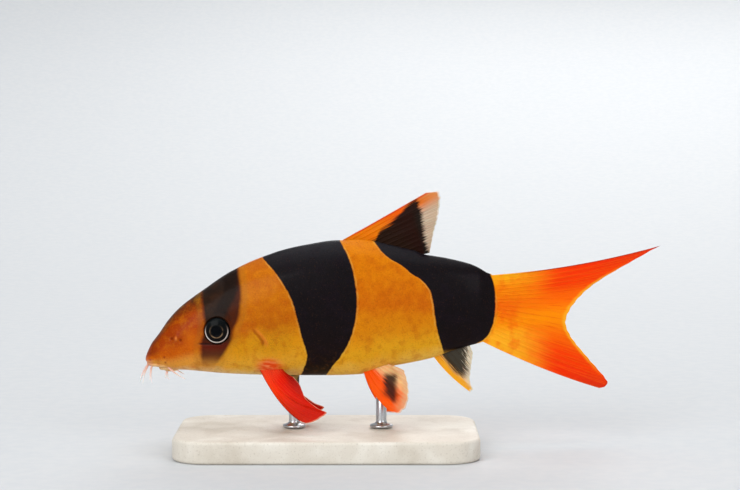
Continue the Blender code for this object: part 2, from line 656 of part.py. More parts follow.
def stand_rod(word, x, group, skin_cutter, finish):
    """A turned rod with a flat foot, standing on the plate and trimmed to the belly."""
    top = (BELLY_LEVEL + 3.0) * MM
    foot = (BASE_HEIGHT + GAP) * MM
    profile = (
        (0, top), (ROD_RADIUS * MM, top), (ROD_RADIUS * MM, foot + ROD_FOOT_HEIGHT * MM),
        (ROD_FOOT_RADIUS * MM, foot + ROD_FOOT_HEIGHT * MM / 2), (ROD_FOOT_RADIUS * MM, foot), (0, foot),
    )
    mesh = bmesh.new()
    corners = [mesh.verts.new((radius, 0, height)) for radius, height in profile]
    for first, second in zip(corners, corners[1:]):
        mesh.edges.new((first, second))
    data = bpy.data.meshes.new(f"stand_rod_{word}")
    mesh.to_mesh(data)
    mesh.free()
    made = bpy.data.objects.new(f"stand_rod_{word}", data)
    made.location.x = (x - BALANCE_POINT) * MM
    group.objects.link(made)
    turned = made.modifiers.new("turned", "SCREW")
    turned.steps = turned.render_steps = 20
    turned.use_merge_vertices = True
    turned.merge_threshold = 0.00001
    boolean(made, "DIFFERENCE", skin_cutter)
    data.materials.append(finish)
    return made


def main():
    for leftover in list(bpy.data.objects):
        bpy.data.objects.remove(leftover)
    fish = collection("clown_loach")
    cutters = collection("cutters", hidden=True)
    finishes = {name: material(name, colour, 0.4) for name, colour in COLOURS.items() if name != "steel"}
    finishes["steel"] = material("steel", COLOURS["steel"], 0.3, 1.0)
    skin_cutter = whole_body("skin_with_clearance", cutters, GAP)
    snout_cutter = whole_body("snout_with_clearance", cutters, GAP)
    snout_pieces = collection("snout_pieces")
    mouth_pieces(snout_pieces, GAP)
    fused(snout_cutter, snout_pieces)
    head(fish, cutters, finishes["skin_head"])
    trunk(fish, cutters, finishes["skin_trunk"])
    tail_stalk(fish, cutters, finishes["skin_tail"])
    eyes(fish, finishes["eye"])
    fins(fish, skin_cutter, finishes["banded_fin"], finishes["red_fin"], finishes["tail_fin"])
    barbels(fish, snout_cutter, finishes["barbel"])
    stand_base(fish, finishes["base"])
    for word, x in ROD_PLACES.items():
        stand_rod(word, x, fish, skin_cutter, finishes["steel"])


main()
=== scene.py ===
# %% [markdown]
# # A clown loach, life size, on a display stand
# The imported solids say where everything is. This lesson dresses them: one fine skin with its
# dark bands, real lips and nostrils, lit eyes, feelers, and fins whose rays fork towards the edge.

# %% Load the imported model
import math

import bmesh
import bpy
from mathutils import Matrix, Vector, noise


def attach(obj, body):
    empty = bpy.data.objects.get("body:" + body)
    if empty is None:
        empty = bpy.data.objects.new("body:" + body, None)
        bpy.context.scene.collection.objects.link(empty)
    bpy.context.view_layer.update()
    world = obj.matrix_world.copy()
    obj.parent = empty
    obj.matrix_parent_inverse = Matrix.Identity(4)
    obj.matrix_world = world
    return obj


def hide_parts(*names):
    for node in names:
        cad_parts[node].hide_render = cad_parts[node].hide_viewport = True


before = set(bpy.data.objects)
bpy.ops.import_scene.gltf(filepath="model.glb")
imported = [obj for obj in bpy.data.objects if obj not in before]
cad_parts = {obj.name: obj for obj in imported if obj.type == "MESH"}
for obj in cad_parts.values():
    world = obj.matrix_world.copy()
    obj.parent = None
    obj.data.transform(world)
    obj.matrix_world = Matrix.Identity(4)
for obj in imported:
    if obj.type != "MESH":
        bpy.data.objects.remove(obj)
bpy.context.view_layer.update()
print("solids:", sorted(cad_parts))

# %% [markdown]
# ## The camera
# The photograph was taken level with the fish, from its left side and very slightly above.
# A long lens keeps the fins from being stretched. The camera comes first, so that each later
# piece can be looked at through it.

# %% Camera
AIM = Vector((0.00965, 0.0, 0.0465))
CAMERA_DISTANCE = 0.4625
CAMERA_RISE = math.radians(4)


def facing(name, data, at, towards=AIM):
    """A camera or a light that stands at a place and looks towards another."""
    made = bpy.data.objects.new(name, data)
    made.location = at
    made.rotation_euler = (Vector(towards) - Vector(at)).to_track_quat("-Z", "Y").to_euler()
    bpy.context.scene.collection.objects.link(made)
    return made


lens = bpy.data.cameras.new("camera")
lens.lens, lens.sensor_width = 100, 36
towards_camera = Vector((0, -math.cos(CAMERA_RISE), math.sin(CAMERA_RISE)))
camera = facing("camera", lens, AIM + towards_camera * CAMERA_DISTANCE)
bpy.context.scene.camera = camera
print("camera height, mm:", round(camera.location.z * 1000))

# %% [markdown]
# ## The measures of the body
# A fish is easiest to measure in its own frame: millimetres back from the snout, out to its
# right, and up from the belly. Four outlines tell the whole body: the back, the belly, the half
# width, and how full each cross-section is. They are the same knots that the solids come from,
# so the skin lies where the solids are.

# %% Measures of the body, in millimetres
MM = 0.001
LEFT, RIGHT = -1, 1
SIDE_NAMES = {LEFT: "left", RIGHT: "right"}
BODY_LENGTH = 82.5
BELLY_LEVEL = 17.3
BALANCE_POINT = 41.0
SWAY_START, SWAY_AT_TAIL = 50.0, 0.7
BACK_LINE = (
    (0.0, 5.4), (2.9, 9.0), (5.2, 12.3), (8.1, 15.4), (13.8, 19.6), (19.6, 23.4), (28.2, 27.2),
    (36.8, 29.4), (44.0, 30.3), (52.0, 29.5), (60.5, 27.5), (68.0, 26.2), (73.0, 25.0),
    (78.0, 22.9), (82.5, 22.3),
)
BELLY_LINE = (
    (0.0, 2.3), (3.0, 2.1), (6.0, 1.2), (10.0, 1.0), (17.0, 0.4), (25.0, 0.0), (48.0, 0.0),
    (54.0, 1.5), (64.0, 3.5), (70.0, 5.5), (75.0, 6.9), (79.0, 7.9), (82.5, 8.2),
)
HALF_WIDTH = (
    (0.0, 2.2), (3.0, 3.6), (8.0, 5.1), (16.0, 6.4), (25.0, 7.1), (33.0, 7.4), (44.0, 7.1),
    (58.0, 5.5), (70.0, 3.7), (78.0, 2.3), (82.5, 1.2),
)
WIDEST_SHARE = ((0.0, 0.38), (16.0, 0.42), (30.0, 0.44), (60.0, 0.50), (82.5, 0.50))
BACK_FULLNESS = ((0.0, 2.2), (16.0, 2.2), (30.0, 2.0), (60.0, 1.9), (82.5, 2.0))
BELLY_FULLNESS = ((0.0, 2.3), (10.0, 2.7), (40.0, 2.5), (60.0, 2.1), (82.5, 2.0))
NOSE_ROUND, NOSE_HEIGHT = 1.8, 3.4
TAIL_ROUND, TAIL_HEIGHT = 1.1, 15.2


def smooth(knots, at):
    """The curve through the knots, a cubic between each two with slopes taken across neighbours."""
    last = len(knots) - 1
    at = min(max(at, knots[0][0]), knots[last][0])
    i = max(j for j in range(last) if knots[j][0] <= at)

    def slope(j):
        before, after = max(j - 1, 0), min(j + 1, last)
        return (knots[after][1] - knots[before][1]) / (knots[after][0] - knots[before][0])

    span = knots[i + 1][0] - knots[i][0]
    t = (at - knots[i][0]) / span
    start, end = knots[i][1], knots[i + 1][1]
    curve = start + t * t * (3 - 2 * t) * (end - start)
    return curve + t * (1 - t) * ((1 - t) * (slope(i) * span) - t * (slope(i + 1) * span))


def along(knots, at):
    """A point on the smooth curve through (share, (x, y, z)) knots."""
    return Vector([smooth([(u, point[axis]) for u, point in knots], at) for axis in range(3)])


def ease(value, low, high):
    """0 at low, 1 at high, and a soft rise between."""
    t = min(1.0, max(0.0, (value - low) / (high - low)))
    return t * t * (3 - 2 * t)


def hump(distance, width):
    """1 where the distance is nothing, falling softly to 0 over about twice the width."""
    return math.exp(-((distance / width) ** 2))


def place(x, y, z):
    """A point of the fish, in millimetres, in the model's own frame in metres."""
    return Vector((x - BALANCE_POINT, y, z + BELLY_LEVEL)) * MM


def sway(x):
    """How far the middle plane lies to the fish's right at x."""
    past = max(0.0, x - SWAY_START) / (BODY_LENGTH - SWAY_START)
    return SWAY_AT_TAIL * past * past


def section(x):
    """The body's cross-section at x: top, bottom, half width, widest height and fullness."""
    top = smooth(BACK_LINE, x)
    bottom = smooth(BELLY_LINE, x)
    widest = bottom + smooth(WIDEST_SHARE, x) * (top - bottom)
    return top, bottom, smooth(HALF_WIDTH, x), widest, smooth(BACK_FULLNESS, x), smooth(BELLY_FULLNESS, x)


def skin_y(x, z):
    """Distance of the skin from the middle plane at x and z."""
    top, bottom, half_width, widest, back_power, belly_power = section(x)
    power = back_power if z > widest else belly_power
    reach = (z - widest) / (top - widest) if z > widest else (widest - z) / (widest - bottom)
    return half_width * max(0.0, 1 - reach**power) ** (1 / power)


print("deepest section:", [round(value, 1) for value in section(44.0)])

# %% [markdown]
# ## Where the rings of the skin stand
# The skin starts as a sphere, whose rings and poles already close it without a seam. Its rings
# are handed out: close together over the head, where the eye, nostrils and mouth need
# them, and wider apart over the plain trunk.

# %% Rings of the skin
SKIN_SIDES = 224
NOSE_RINGS, TAIL_RINGS = 16, 6
HEAD_RING_GAP, TRUNK_RING_GAP = 0.16, 0.42
HEAD_END, TRUNK_START = 26.0, 38.0
SIDE_CROWDING = 0.4  # how much closer the points stand on the flanks than on the back
THIN_FROM, THIN_TO, THINNED_BY = 74.5, 81.0, 0.9  # the flesh inside the root of the tail
BOW_FROM, BOW_DEPTH, BOW_HALF_HEIGHT = 75.0, 2.2, 7.2
DRAWN_FROM, DRAWN_SHARE = 79.5, 0.65


def ring_places():
    """Distance from the snout of every ring, the two poles included."""
    nose = [NOSE_ROUND * (1 - math.cos(math.pi / 2 * step / NOSE_RINGS)) for step in range(NOSE_RINGS)]
    middle = [NOSE_ROUND]
    while middle[-1] < BODY_LENGTH - TAIL_ROUND - TRUNK_RING_GAP:
        coarseness = ease(middle[-1], HEAD_END, TRUNK_START)
        middle.append(middle[-1] + HEAD_RING_GAP + (TRUNK_RING_GAP - HEAD_RING_GAP) * coarseness)
    turns = [math.pi / 2 * step / TAIL_RINGS for step in range(TAIL_RINGS + 1)]
    return nose + middle + [BODY_LENGTH - TAIL_ROUND * (1 - math.sin(turn)) for turn in turns]


def bluntness(x):
    """Share to which the section shrinks at the rounded ends, and the height it shrinks to."""
    if x < NOSE_ROUND:
        return math.sqrt(max(0.0, 1 - (1 - x / NOSE_ROUND) ** 2)), NOSE_HEIGHT
    left = BODY_LENGTH - x
    if left < TAIL_ROUND:
        return math.sqrt(max(0.0, 1 - (1 - left / TAIL_ROUND) ** 2)), TAIL_HEIGHT
    return 1.0, TAIL_HEIGHT


def flesh_point(x, angle, measured):
    """The point of the skin at x in the direction of the angle, 0 to the right and a quarter up."""
    top, bottom, half_width, widest, back_power, belly_power = measured
    angle -= SIDE_CROWDING * math.sin(2 * angle) / 2
    c, s = math.cos(angle), math.sin(angle)
    power = back_power if s > 0 else belly_power
    reach = top - widest if s > 0 else widest - bottom
    stretch = (abs(c) ** power + abs(s) ** power) ** (1 / power)
    left, end_height = bluntness(x)
    y = half_width * c / stretch
    z = widest + reach * s / stretch
    return Vector((x, y * left, end_height + (z - end_height) * left))


def towards_tail(point):
    """The flesh thins into the root of the tail, and its end is bowed like a fan's."""
    thin = 1 - THINNED_BY * ease(point.x, THIN_FROM, THIN_TO)
    level = (point.z - TAIL_HEIGHT) / BOW_HALF_HEIGHT
    bow = BOW_DEPTH * ease(point.x, BOW_FROM, BODY_LENGTH) * level * level
    drawn_in = DRAWN_SHARE * max(0.0, point.x - DRAWN_FROM)
    return Vector((point.x - drawn_in - bow, point.y * thin, point.z))


RINGS = ring_places()
print(len(RINGS), "rings of", SKIN_SIDES)

# %% [markdown]
# ## Relief of the head
# What is cut into the head is small: an eye socket with a low fold round it, two nostril pits
# with a flap between them, the slit that hides the spine under the eye, a few pores, the edge of
# the gill cover and the mouth. Each is a short sum that says how far the skin rises or sinks
# at a place. Adding the sums keeps the skin one surface, which joined pieces would not.

# %% Relief of the head and the fin roots
EYE_X, EYE_Z = 16.6, 10.5
SOCKET_RADIUS, SOCKET_DEPTH, RIM_REACH = 3.0, 1.5, 0.09
NOSTRILS = ((6.35, 8.5), (8.35, 8.2))
NOSTRIL_FLAP = (7.3, 8.6)
PORES = ((4.6, 4.25), (4.8, 3.0), (1.3, 3.5))
SLIT_START, SLIT_END, SLIT_Z = 11.8, 18.0, 7.55
COVER_EDGE = ((2.0, 25.6), (5.0, 26.3), (7.9, 26.6), (9.3, 25.7), (10.5, 24.7), (13.0, 23.2))
COVER_LIFT, COVER_LENGTH = 0.34, 8.0
LIP_FRONT_X, LIP_CORNER_X, LIP_HALF_WIDTH = 0.9, 5.6, 2.5
DORSAL_FRONT, DORSAL_REAR = 44.0, 60.3


def eye_relief(x, z):
    """The socket, and the low fold that rings it."""
    r = math.hypot(x - EYE_X, z - EYE_Z)
    fold = 0.15 * hump(r - SOCKET_RADIUS - 0.28, 0.3)
    return fold - SOCKET_DEPTH * (1 - ease(r, SOCKET_RADIUS - 0.3, SOCKET_RADIUS))


def nostril_relief(x, z):
    """Two pits, and the flap that stands between them."""
    pits = sum(hump(math.hypot(x - px, z - pz), 0.3) for px, pz in NOSTRILS)
    flap_x, flap_z = NOSTRIL_FLAP
    flap = hump(x - flap_x - 0.12 * (z - flap_z), 0.26) * hump(z - flap_z, 0.55)
    swelling = hump(math.hypot(x - flap_x, z - flap_z), 1.3)
    return 0.12 * swelling + 0.34 * flap - 0.42 * pits


def slit_relief(x, z):
    """The slit below the eye, with a soft lip under it."""
    if not SLIT_START - 1 < x < SLIT_END + 1:
        return 0.0
    ends = ease(x, SLIT_START, SLIT_START + 2.0) * ease(x, SLIT_END, SLIT_END - 1.0)
    line = SLIT_Z + 0.012 * (x - 14.6) ** 2
    return ends * (0.1 * hump(z - line + 0.42, 0.3) - 0.3 * hump(z - line, 0.17))


def cover_relief(x, z):
    """The gill cover swells backwards to its edge, and the slit lies behind it."""
    if not 1.0 < z < 13.0 or not 14.0 < x < 29.0:
        return 0.0
    behind = x - smooth(COVER_EDGE, z)
    level = ease(z, 1.2, 4.0) * ease(z, 13.0, 9.0)
    slot = ease(z, 6.6, 8.2) * ease(z, 11.2, 10.2)
    swell = ease(behind, -COVER_LENGTH, -0.5) * (1 - ease(behind, -0.1, 1.4 - 0.9 * slot))
    raised = COVER_LIFT * (0.55 + 0.45 * slot) * swell
    sunk = (0.05 + 0.2 * slot) * hump(behind - 0.42, 0.26)
    return level * (raised - sunk) + 0.16 * slot * hump(behind - 1.1, 0.4)


def breast_relief(x, z):
    """The muscle that carries the breast fin."""
    streaks = 0.05 * math.sin(4.2 * (z + 0.35 * x))
    return (0.32 + streaks) * hump(math.hypot((x - 28.6) / 1.7, z - 2.6), 1.7)


def pore_relief(x, z):
    return -0.14 * sum(hump(math.hypot(x - px, z - pz), 0.2) for px, pz in PORES)


def mouth_relief(x, y, z):
    """The gap between the lips, sunk into the underside of the snout."""
    if x > 7.5 or z > 3.2:
        return 0.0
    upper = math.hypot((LIP_CORNER_X - x) / (LIP_CORNER_X - LIP_FRONT_X), y / LIP_HALF_WIDTH)
    if x > LIP_CORNER_X:
        upper = 1.5
    return -0.9 * (1 - ease(upper, 0.7, 1.0)) * (1 - ease(x, 4.6, 5.6)) * ease(z, 3.2, 2.6)


def flesh_relief(point):
    """Slight unevenness of living flesh."""
    return 0.05 * noise.noise(point / 5.0) + 0.02 * noise.noise(point / 1.6)


def fairing_relief(x, y, z):
    """The skin climbs a little way up the root of the back fin."""
    if z < 24 or not DORSAL_FRONT - 1 < x < DORSAL_REAR + 3:
        return 0.0
    ends = ease(x, DORSAL_FRONT, DORSAL_FRONT + 5) * ease(x, DORSAL_REAR + 2.5, DORSAL_REAR)
    return 0.55 * hump(y, 0.9) * ends


def relief(point):
    """How far the skin rises, in millimetres, at a point of the plain body."""
    x, y, z = point
    rise = flesh_relief(point) + fairing_relief(x, y, z)
    if x < 34 and abs(y) > 1:
        rise += eye_relief(x, z) + nostril_relief(x, z) + slit_relief(x, z)
        rise += cover_relief(x, z) + pore_relief(x, z) + breast_relief(x, z)
    return rise + mouth_relief(x, y, z)


def snapped(point):
    """Points near the rim of the socket move onto it, so that the rim is a clean circle."""
    dx, dz = point.x - EYE_X, point.z - EYE_Z
    r = math.hypot(dx, dz)
    if abs(point.y) < 1 or abs(r - SOCKET_RADIUS) > RIM_REACH:
        return point
    return Vector((EYE_X + dx * SOCKET_RADIUS / r, point.y, EYE_Z + dz * SOCKET_RADIUS / r))


print("socket depth at the eye:", round(eye_relief(EYE_X, EYE_Z), 2))

# %% [markdown]
# ## The skin
# One surface runs from the snout to the root of the tail and takes the place of the head, the
# trunk and the tail stalk. Displacing a sphere's own points leaves its map of the surface tidy.

# %% Skin
fish_pieces = bpy.data.collections.new("clown_loach")
bpy.context.scene.collection.children.link(fish_pieces)


def piece_from(mesh, name, *nodes, closed=True):
    """The bmesh as a named piece that rides on the model and stands for the given solids."""
    if closed:
        bmesh.ops.recalc_face_normals(mesh, faces=mesh.faces)
    data = bpy.data.meshes.new(name)
    mesh.to_mesh(data)
    mesh.free()
    data.shade_smooth()
    made = bpy.data.objects.new(name, data)
    fish_pieces.objects.link(made)
    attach(made, "root")
    if nodes:
        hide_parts(*nodes)
    return made


def ball(sides, rings):
    """A sphere of radius 1 with a flat map of its surface, and its mesh."""
    mesh = bmesh.new()
    mesh.loops.layers.uv.new("OFBake")
    bmesh.ops.create_uvsphere(mesh, u_segments=sides, v_segments=rings, radius=1, calc_uvs=True)
    return mesh


def make_skin():
    mesh = ball(SKIN_SIDES, len(RINGS) - 1)
    measured = [section(x) for x in RINGS]
    plain = {}
    for vertex in mesh.verts:
        share = math.acos(max(-1.0, min(1.0, vertex.co.z))) / math.pi
        ring = round(share * (len(RINGS) - 1))
        point = flesh_point(RINGS[ring], math.atan2(vertex.co.y, vertex.co.x), measured[ring])
        point = towards_tail(point)
        plain[vertex] = snapped(point)
        vertex.co = place(point.x, point.y + sway(point.x), point.z)
    bmesh.ops.recalc_face_normals(mesh, faces=mesh.faces)
    mesh.normal_update()
    normals = {vertex: vertex.normal.copy() for vertex in mesh.verts}
    for vertex, point in plain.items():
        vertex.co = place(point.x, point.y + sway(point.x), point.z)
        vertex.co += normals[vertex] * relief(point) * MM
    return piece_from(mesh, "skin", "head", "trunk", "tail_stalk")


skin = make_skin()
print("skin faces:", len(skin.data.polygons))

# %% [markdown]
# ## Lips, chin and feelers
# A loach feels for its food, so its lips are fleshy and it wears four pairs of feelers. All are
# soft tubes: a ball whose rings are strung along a path, each with its own radius, has no caps
# to close and no seam to hide.

# %% Strung tubes
LIP_FRONT_Z, LIP_CORNER_Z = 2.2, 1.5
CHIN_X, CHIN_Z = 5.7, 1.65
CHIN_SIZE = (2.2, 2.3, 1.05)


def strung(name, path, radius, nodes=(), sides=18, rings=60, flat=1.0, up=Vector((0, 0, 1))):
    """A closed tube along path(share), of radius(share, angle), flattened across up."""
    mesh = ball(sides, rings)
    for vertex in mesh.verts:
        share = math.acos(max(-1.0, min(1.0, vertex.co.z))) / math.pi
        angle = math.atan2(vertex.co.y, vertex.co.x)
        ahead = (path(min(1.0, share + 0.01)) - path(max(0.0, share - 0.01))).normalized()
        side = ahead.cross(up).normalized()
        over = side.cross(ahead)
        size = radius(share, angle)
        point = path(share) + (side * math.cos(angle) + over * math.sin(angle) * flat) * size
        vertex.co = place(*point)
    return piece_from(mesh, name, *nodes)


def rounded(share, ends=0.04):
    """1 along most of a tube, closing like a dome at both ends."""
    near = min(share, 1 - share) / ends
    return 1.0 if near >= 1 else math.sqrt(max(0.0, 1 - (1 - near) ** 2))


def arch(front_x, half_width, front_z, corner_z):
    """A path round the front of the mouth, from one corner to the other."""

    def path(share):
        angle = math.pi * share
        forward = math.sin(angle)
        x = LIP_CORNER_X + (front_x - LIP_CORNER_X) * forward
        return Vector((x, half_width * math.cos(angle), corner_z + (front_z - corner_z) * forward))

    return path


def lip_size(full):
    """Fullest in the middle, thinner towards the corners, and finely bumpy."""

    def size(share, angle):
        bumps = 0.05 * math.sin(share * 95) * math.sin(3 * angle)
        bumps += 0.03 * math.sin(share * 41 + 2 * angle)
        return full * (0.55 + 0.45 * math.sin(math.pi * share)) * rounded(share) * (1 + bumps)

    return size


over_mouth = arch(LIP_FRONT_X, LIP_HALF_WIDTH, LIP_FRONT_Z + 0.35, LIP_CORNER_Z + 0.6)
under_mouth = arch(LIP_FRONT_X + 2.6, LIP_HALF_WIDTH - 0.5, LIP_CORNER_Z, LIP_CORNER_Z)
upper_lip = strung("upper_lip", over_mouth, lip_size(0.62), rings=120)
lower_lip = strung("lower_lip", under_mouth, lip_size(0.5), rings=100)


def make_chin():
    """The soft pad behind the lower lip, with a shallow groove along its middle."""
    mesh = ball(48, 40)
    for vertex in mesh.verts:
        x, y, z = vertex.co
        groove = 0.12 * hump(y, 0.22) * ease(-z, 0.0, 0.7) * ease(-x, -0.6, 0.4)
        vertex.co = place(
            CHIN_X + CHIN_SIZE[0] * x, CHIN_SIZE[1] * y, CHIN_Z + CHIN_SIZE[2] * z * (1 - groove)
        )
    return piece_from(mesh, "chin")


chin = make_chin()
print("points of the upper lip:", len(upper_lip.data.vertices))

# %% [markdown]
# ## Feelers
# Two pairs hang from the tip of the snout, one pair from the corners of the mouth, and a short
# pair from the chin. Each starts inside the lip, bends once and ends in a blunt tip.

# %% Feelers
BARBEL_ROOT_RADIUS, BARBEL_TIP_RADIUS = 0.28, 0.08
BARBELS = {
    "rostral_inner": ((0.9, 0.5, 2.6), (-0.6, 0.9, 0.3), (-0.5, 1.1, -2.1)),
    "rostral_outer": ((1.6, 1.5, 2.4), (1.0, 2.0, 0.2), (1.7, 2.4, -1.8)),
    "maxillary": ((5.2, 2.3, 1.9), (7.2, 3.6, 0.3), (9.3, 4.2, -0.6)),
    "mandibular": ((5.0, 0.9, 1.4), (4.7, 1.1, -0.3), (5.4, 1.3, -1.1)),
}
BARBEL_SWING = {LEFT: 0.0, RIGHT: -1.0}


def bent(start, bend, end):
    """The curve that starts at the first point, bends at the second and ends at the third."""
    return lambda t: start * (1 - t) ** 2 + bend * 2 * t * (1 - t) + end * t * t


def barbel_size(share, angle):
    taper = BARBEL_ROOT_RADIUS + (BARBEL_TIP_RADIUS - BARBEL_ROOT_RADIUS) * share**0.8
    return taper * rounded(share, 0.05) * (1 + 0.04 * math.sin(share * 60))


barbels = []
for kind, points in BARBELS.items():
    for side, word in SIDE_NAMES.items():
        start, bend, end = (Vector((x, side * y, z)) for x, y, z in points)
        bend.x += BARBEL_SWING[side] / 2
        end.x += BARBEL_SWING[side]
        name, node, path = f"feeler_{kind}_{word}", f"barbel_{kind}_{word}", bent(start, bend, end)
        made = strung(name, path, barbel_size, [node], sides=16, rings=44, up=Vector((0, 1, 0)))
        barbels.append(made)
print(len(barbels), "feelers")

# %% [markdown]
# ## Eyes
# A loach's eye is a shallow dome let into the cheek, without lids. The iris is a little dish
# with the pupil at its bottom, so a profile from the middle of the pupil out to the hidden back
# is turned once round, and the turned mesh keeps each point's distance from the axis for the
# painted rings.

# %% Eyes
EYE_PROFILE = (
    (0.0, 0.80), (0.5, 0.80), (0.98, 0.77), (1.1, 0.84), (1.35, 0.83), (1.8, 0.72), (2.2, 0.57),
    (2.4, 0.49), (2.52, 0.47), (2.66, 0.34), (2.8, 0.10), (2.9, -0.25), (2.86, -0.7), (2.4, -1.3),
    (1.4, -1.75), (0.0, -1.9),
)


def turned(profile, steps, closeness, cuts=0):
    """A profile of (radius, height) turned once round the upright axis."""
    mesh = bmesh.new()
    corners = [mesh.verts.new((r, 0, h)) for r, h in profile]
    edges = [mesh.edges.new(pair) for pair in zip(corners, corners[1:])]
    if cuts:
        bmesh.ops.subdivide_edges(mesh, edges=edges, cuts=cuts, smooth=0.6)
    bmesh.ops.spin(
        mesh, geom=mesh.verts[:] + mesh.edges[:], cent=(0, 0, 0), axis=(0, 0, 1),
        angle=2 * math.pi, steps=steps, use_merge=True,
    )
    bmesh.ops.remove_doubles(mesh, verts=mesh.verts, dist=closeness)
    return mesh


def skin_turn(x, z, side):
    """The turn about Z that lays a piece on the skin at x and z."""
    return side * math.atan(skin_y(x + 0.5, z) - skin_y(x - 0.5, z))


def make_eye(side, word):
    mesh = turned(EYE_PROFILE, steps=96, closeness=0.001, cuts=3)
    radii = mesh.verts.layers.float.new("radius")
    for vertex in mesh.verts:
        vertex[radii] = math.hypot(vertex.co.x, vertex.co.y)
    seat = Matrix.Translation(place(EYE_X, side * skin_y(EYE_X, EYE_Z), EYE_Z))
    seat = seat @ Matrix.Rotation(skin_turn(EYE_X, EYE_Z, side), 4, "Z")
    seat = seat @ Matrix.Rotation(-side * math.pi / 2, 4, "X") @ Matrix.Scale(MM, 4)
    bmesh.ops.transform(mesh, matrix=seat, verts=mesh.verts)
    return piece_from(mesh, f"eyeball_{word}", f"eye_{word}")


eyes = [make_eye(side, word) for side, word in SIDE_NAMES.items()]
print("eye points:", len(eyes[0].data.vertices))

# %% [markdown]
# ## Fins
# A fin is a web of skin stretched over jointed rays. Each ray leaves the body as one, forks at
# about half its length and again near the edge, and the web between two rays ends a little
# short of their tips. A grid that follows the rays gets its thickness from a Solidify modifier,
# whose vertex weights raise the rays on both faces at once.

# %% Fin builder
WEB = 0.16
THICKEST = 1.8
FIRST_FORK, SECOND_FORK = 0.34, 0.66


def ray_crest(across, v, rays, stiff_ends):
    """Height of the nearest ray's ridge, 0 to 1, at a share across the fin and along the rays."""
    spot = across * (rays - 1)
    nearest = min(rays - 1, max(0, round(spot)))
    offset = spot - nearest
    width = 0.13 - 0.05 * v
    if nearest in stiff_ends:
        return hump(offset, width * 1.5)
    first = 0.25 * ease(v, FIRST_FORK, 1.0)
    second = 0.125 * ease(v, SECOND_FORK, 1.05)
    forks = (first + second, first - second, -first + second, -first - second)
    return max(hump(offset - fork, width * (1 - 0.45 * ease(v, FIRST_FORK, 0.9))) for fork in forks)


def make_fin(
    name, node, shape, rays, rows, per_ray=14, ray_thickness=0.5, stiff_ends=(0,), scallop=0.02, root=0.5
):
    """A web over forking rays. shape(u, v) is its middle: u across the rays, v out to their tips."""
    mesh = bmesh.new()
    mesh.loops.layers.uv.new("OFBake")
    columns = (rays - 1) * per_ray
    bmesh.ops.create_grid(mesh, x_segments=columns, y_segments=rows, size=1, calc_uvs=True)
    crests = mesh.verts.layers.float.new("ray")
    weights = []
    for vertex in mesh.verts:
        u, v = (vertex.co.x + 1) / 2, (vertex.co.y + 1) / 2
        crest = ray_crest(u, v, rays, stiff_ends)
        between = 0.5 - 0.5 * math.cos(2 * math.pi * u * (rays - 1))
        jag = 0.4 * noise.noise(Vector((u * rays * 2.3, v * 2, 7.0)))
        reach = v * (1 - scallop * (between + jag) * ease(v, 0.6, 1.0))
        vertex[crests] = crest
        ray = WEB + (ray_thickness * (1 - 0.6 * v) - WEB) * crest * ease(v, 0.02, 0.14)
        flesh = root * ease(v, 0.34, 0.0)
        weights.append(min(1.0, (max(ray, WEB) + flesh - WEB) / (THICKEST - WEB)))
        vertex.co = place(*shape(u, reach))
    made = piece_from(mesh, name, node, closed=False)
    group = made.vertex_groups.new(name="thickness")
    for index, weight in enumerate(weights):
        group.add([index], weight, "REPLACE")
    thick = made.modifiers.new("thickness", "SOLIDIFY")
    thick.thickness = THICKEST * MM
    thick.offset = 0
    thick.vertex_group = "thickness"
    thick.thickness_vertex_group = WEB / THICKEST
    return made


def fan(root, tips, bow, side=RIGHT, swing=(0.0, 0.0, 0.0), ripple=0.0):
    """The middle of a fin whose rays run from a root line to the line of their tips."""

    def surface(u, v):
        start, end, lift = along(root, u), along(tips, u), along(bow, u)
        point = start.lerp(end, v) + lift * 4 * v * (1 - v) + Vector(swing) * v
        wave = ripple * v * math.sin(u * 21 + 1.5 * v)
        return point.x, side * point.y + wave, point.z

    return surface


print("web", WEB, "mm")

# %% [markdown]
# ## The fins' shapes
# Every fin is told by three lines across its rays: where they root, where they end, and how far
# they bow between. The back fin stands tall and swept back, the tail is forked with its lower
# lobe turned aside, and the paired fins reach down towards the ground.

# %% Fin shapes
ROOT_DEPTH, DORSAL_ROOT_DEPTH, DORSAL_LEAD = 1.6, 1.3, 1.8
VENT_FRONT, VENT_REAR = 64.2, 72.6
STRAIGHT = (0.0, 0.0, 0.0)
BREAST_SWING = {LEFT: STRAIGHT, RIGHT: (-1.0, -4.0, -1.5)}
BELLY_SWING = {LEFT: STRAIGHT, RIGHT: (-1.0, -0.6, -1.6)}


def root_on_outline(front, rear, outline, depth):
    places = [front + (rear - front) * step / 4 for step in range(5)]
    return [(step / 4, (x, sway(x), smooth(outline, x) - depth)) for step, x in enumerate(places)]


def root_on_side(*knots):
    return [(u, (x, max(0.5, skin_y(x, z) - ROOT_DEPTH), z + ROOT_DEPTH / 3)) for u, x, z in knots]


def dorsal_surface():
    tips = (
        (0.0, (63.2, 0.9, 41.0)), (0.07, (65.7, 1.0, 41.3)), (0.15, (66.5, 1.0, 40.4)),
        (0.35, (66.2, 0.9, 36.6)), (0.7, (65.0, 0.6, 31.9)), (1.0, (64.1, 0.4, 27.4)),
    )
    bow = ((0.0, (0.0, 0.4, 0.0)), (0.5, (0.0, -0.5, 0.2)), (1.0, (0.0, 0.0, 0.1)))
    root = root_on_outline(DORSAL_FRONT - DORSAL_LEAD, DORSAL_REAR, BACK_LINE, DORSAL_ROOT_DEPTH)
    return fan(root, tips, bow, ripple=0.12)


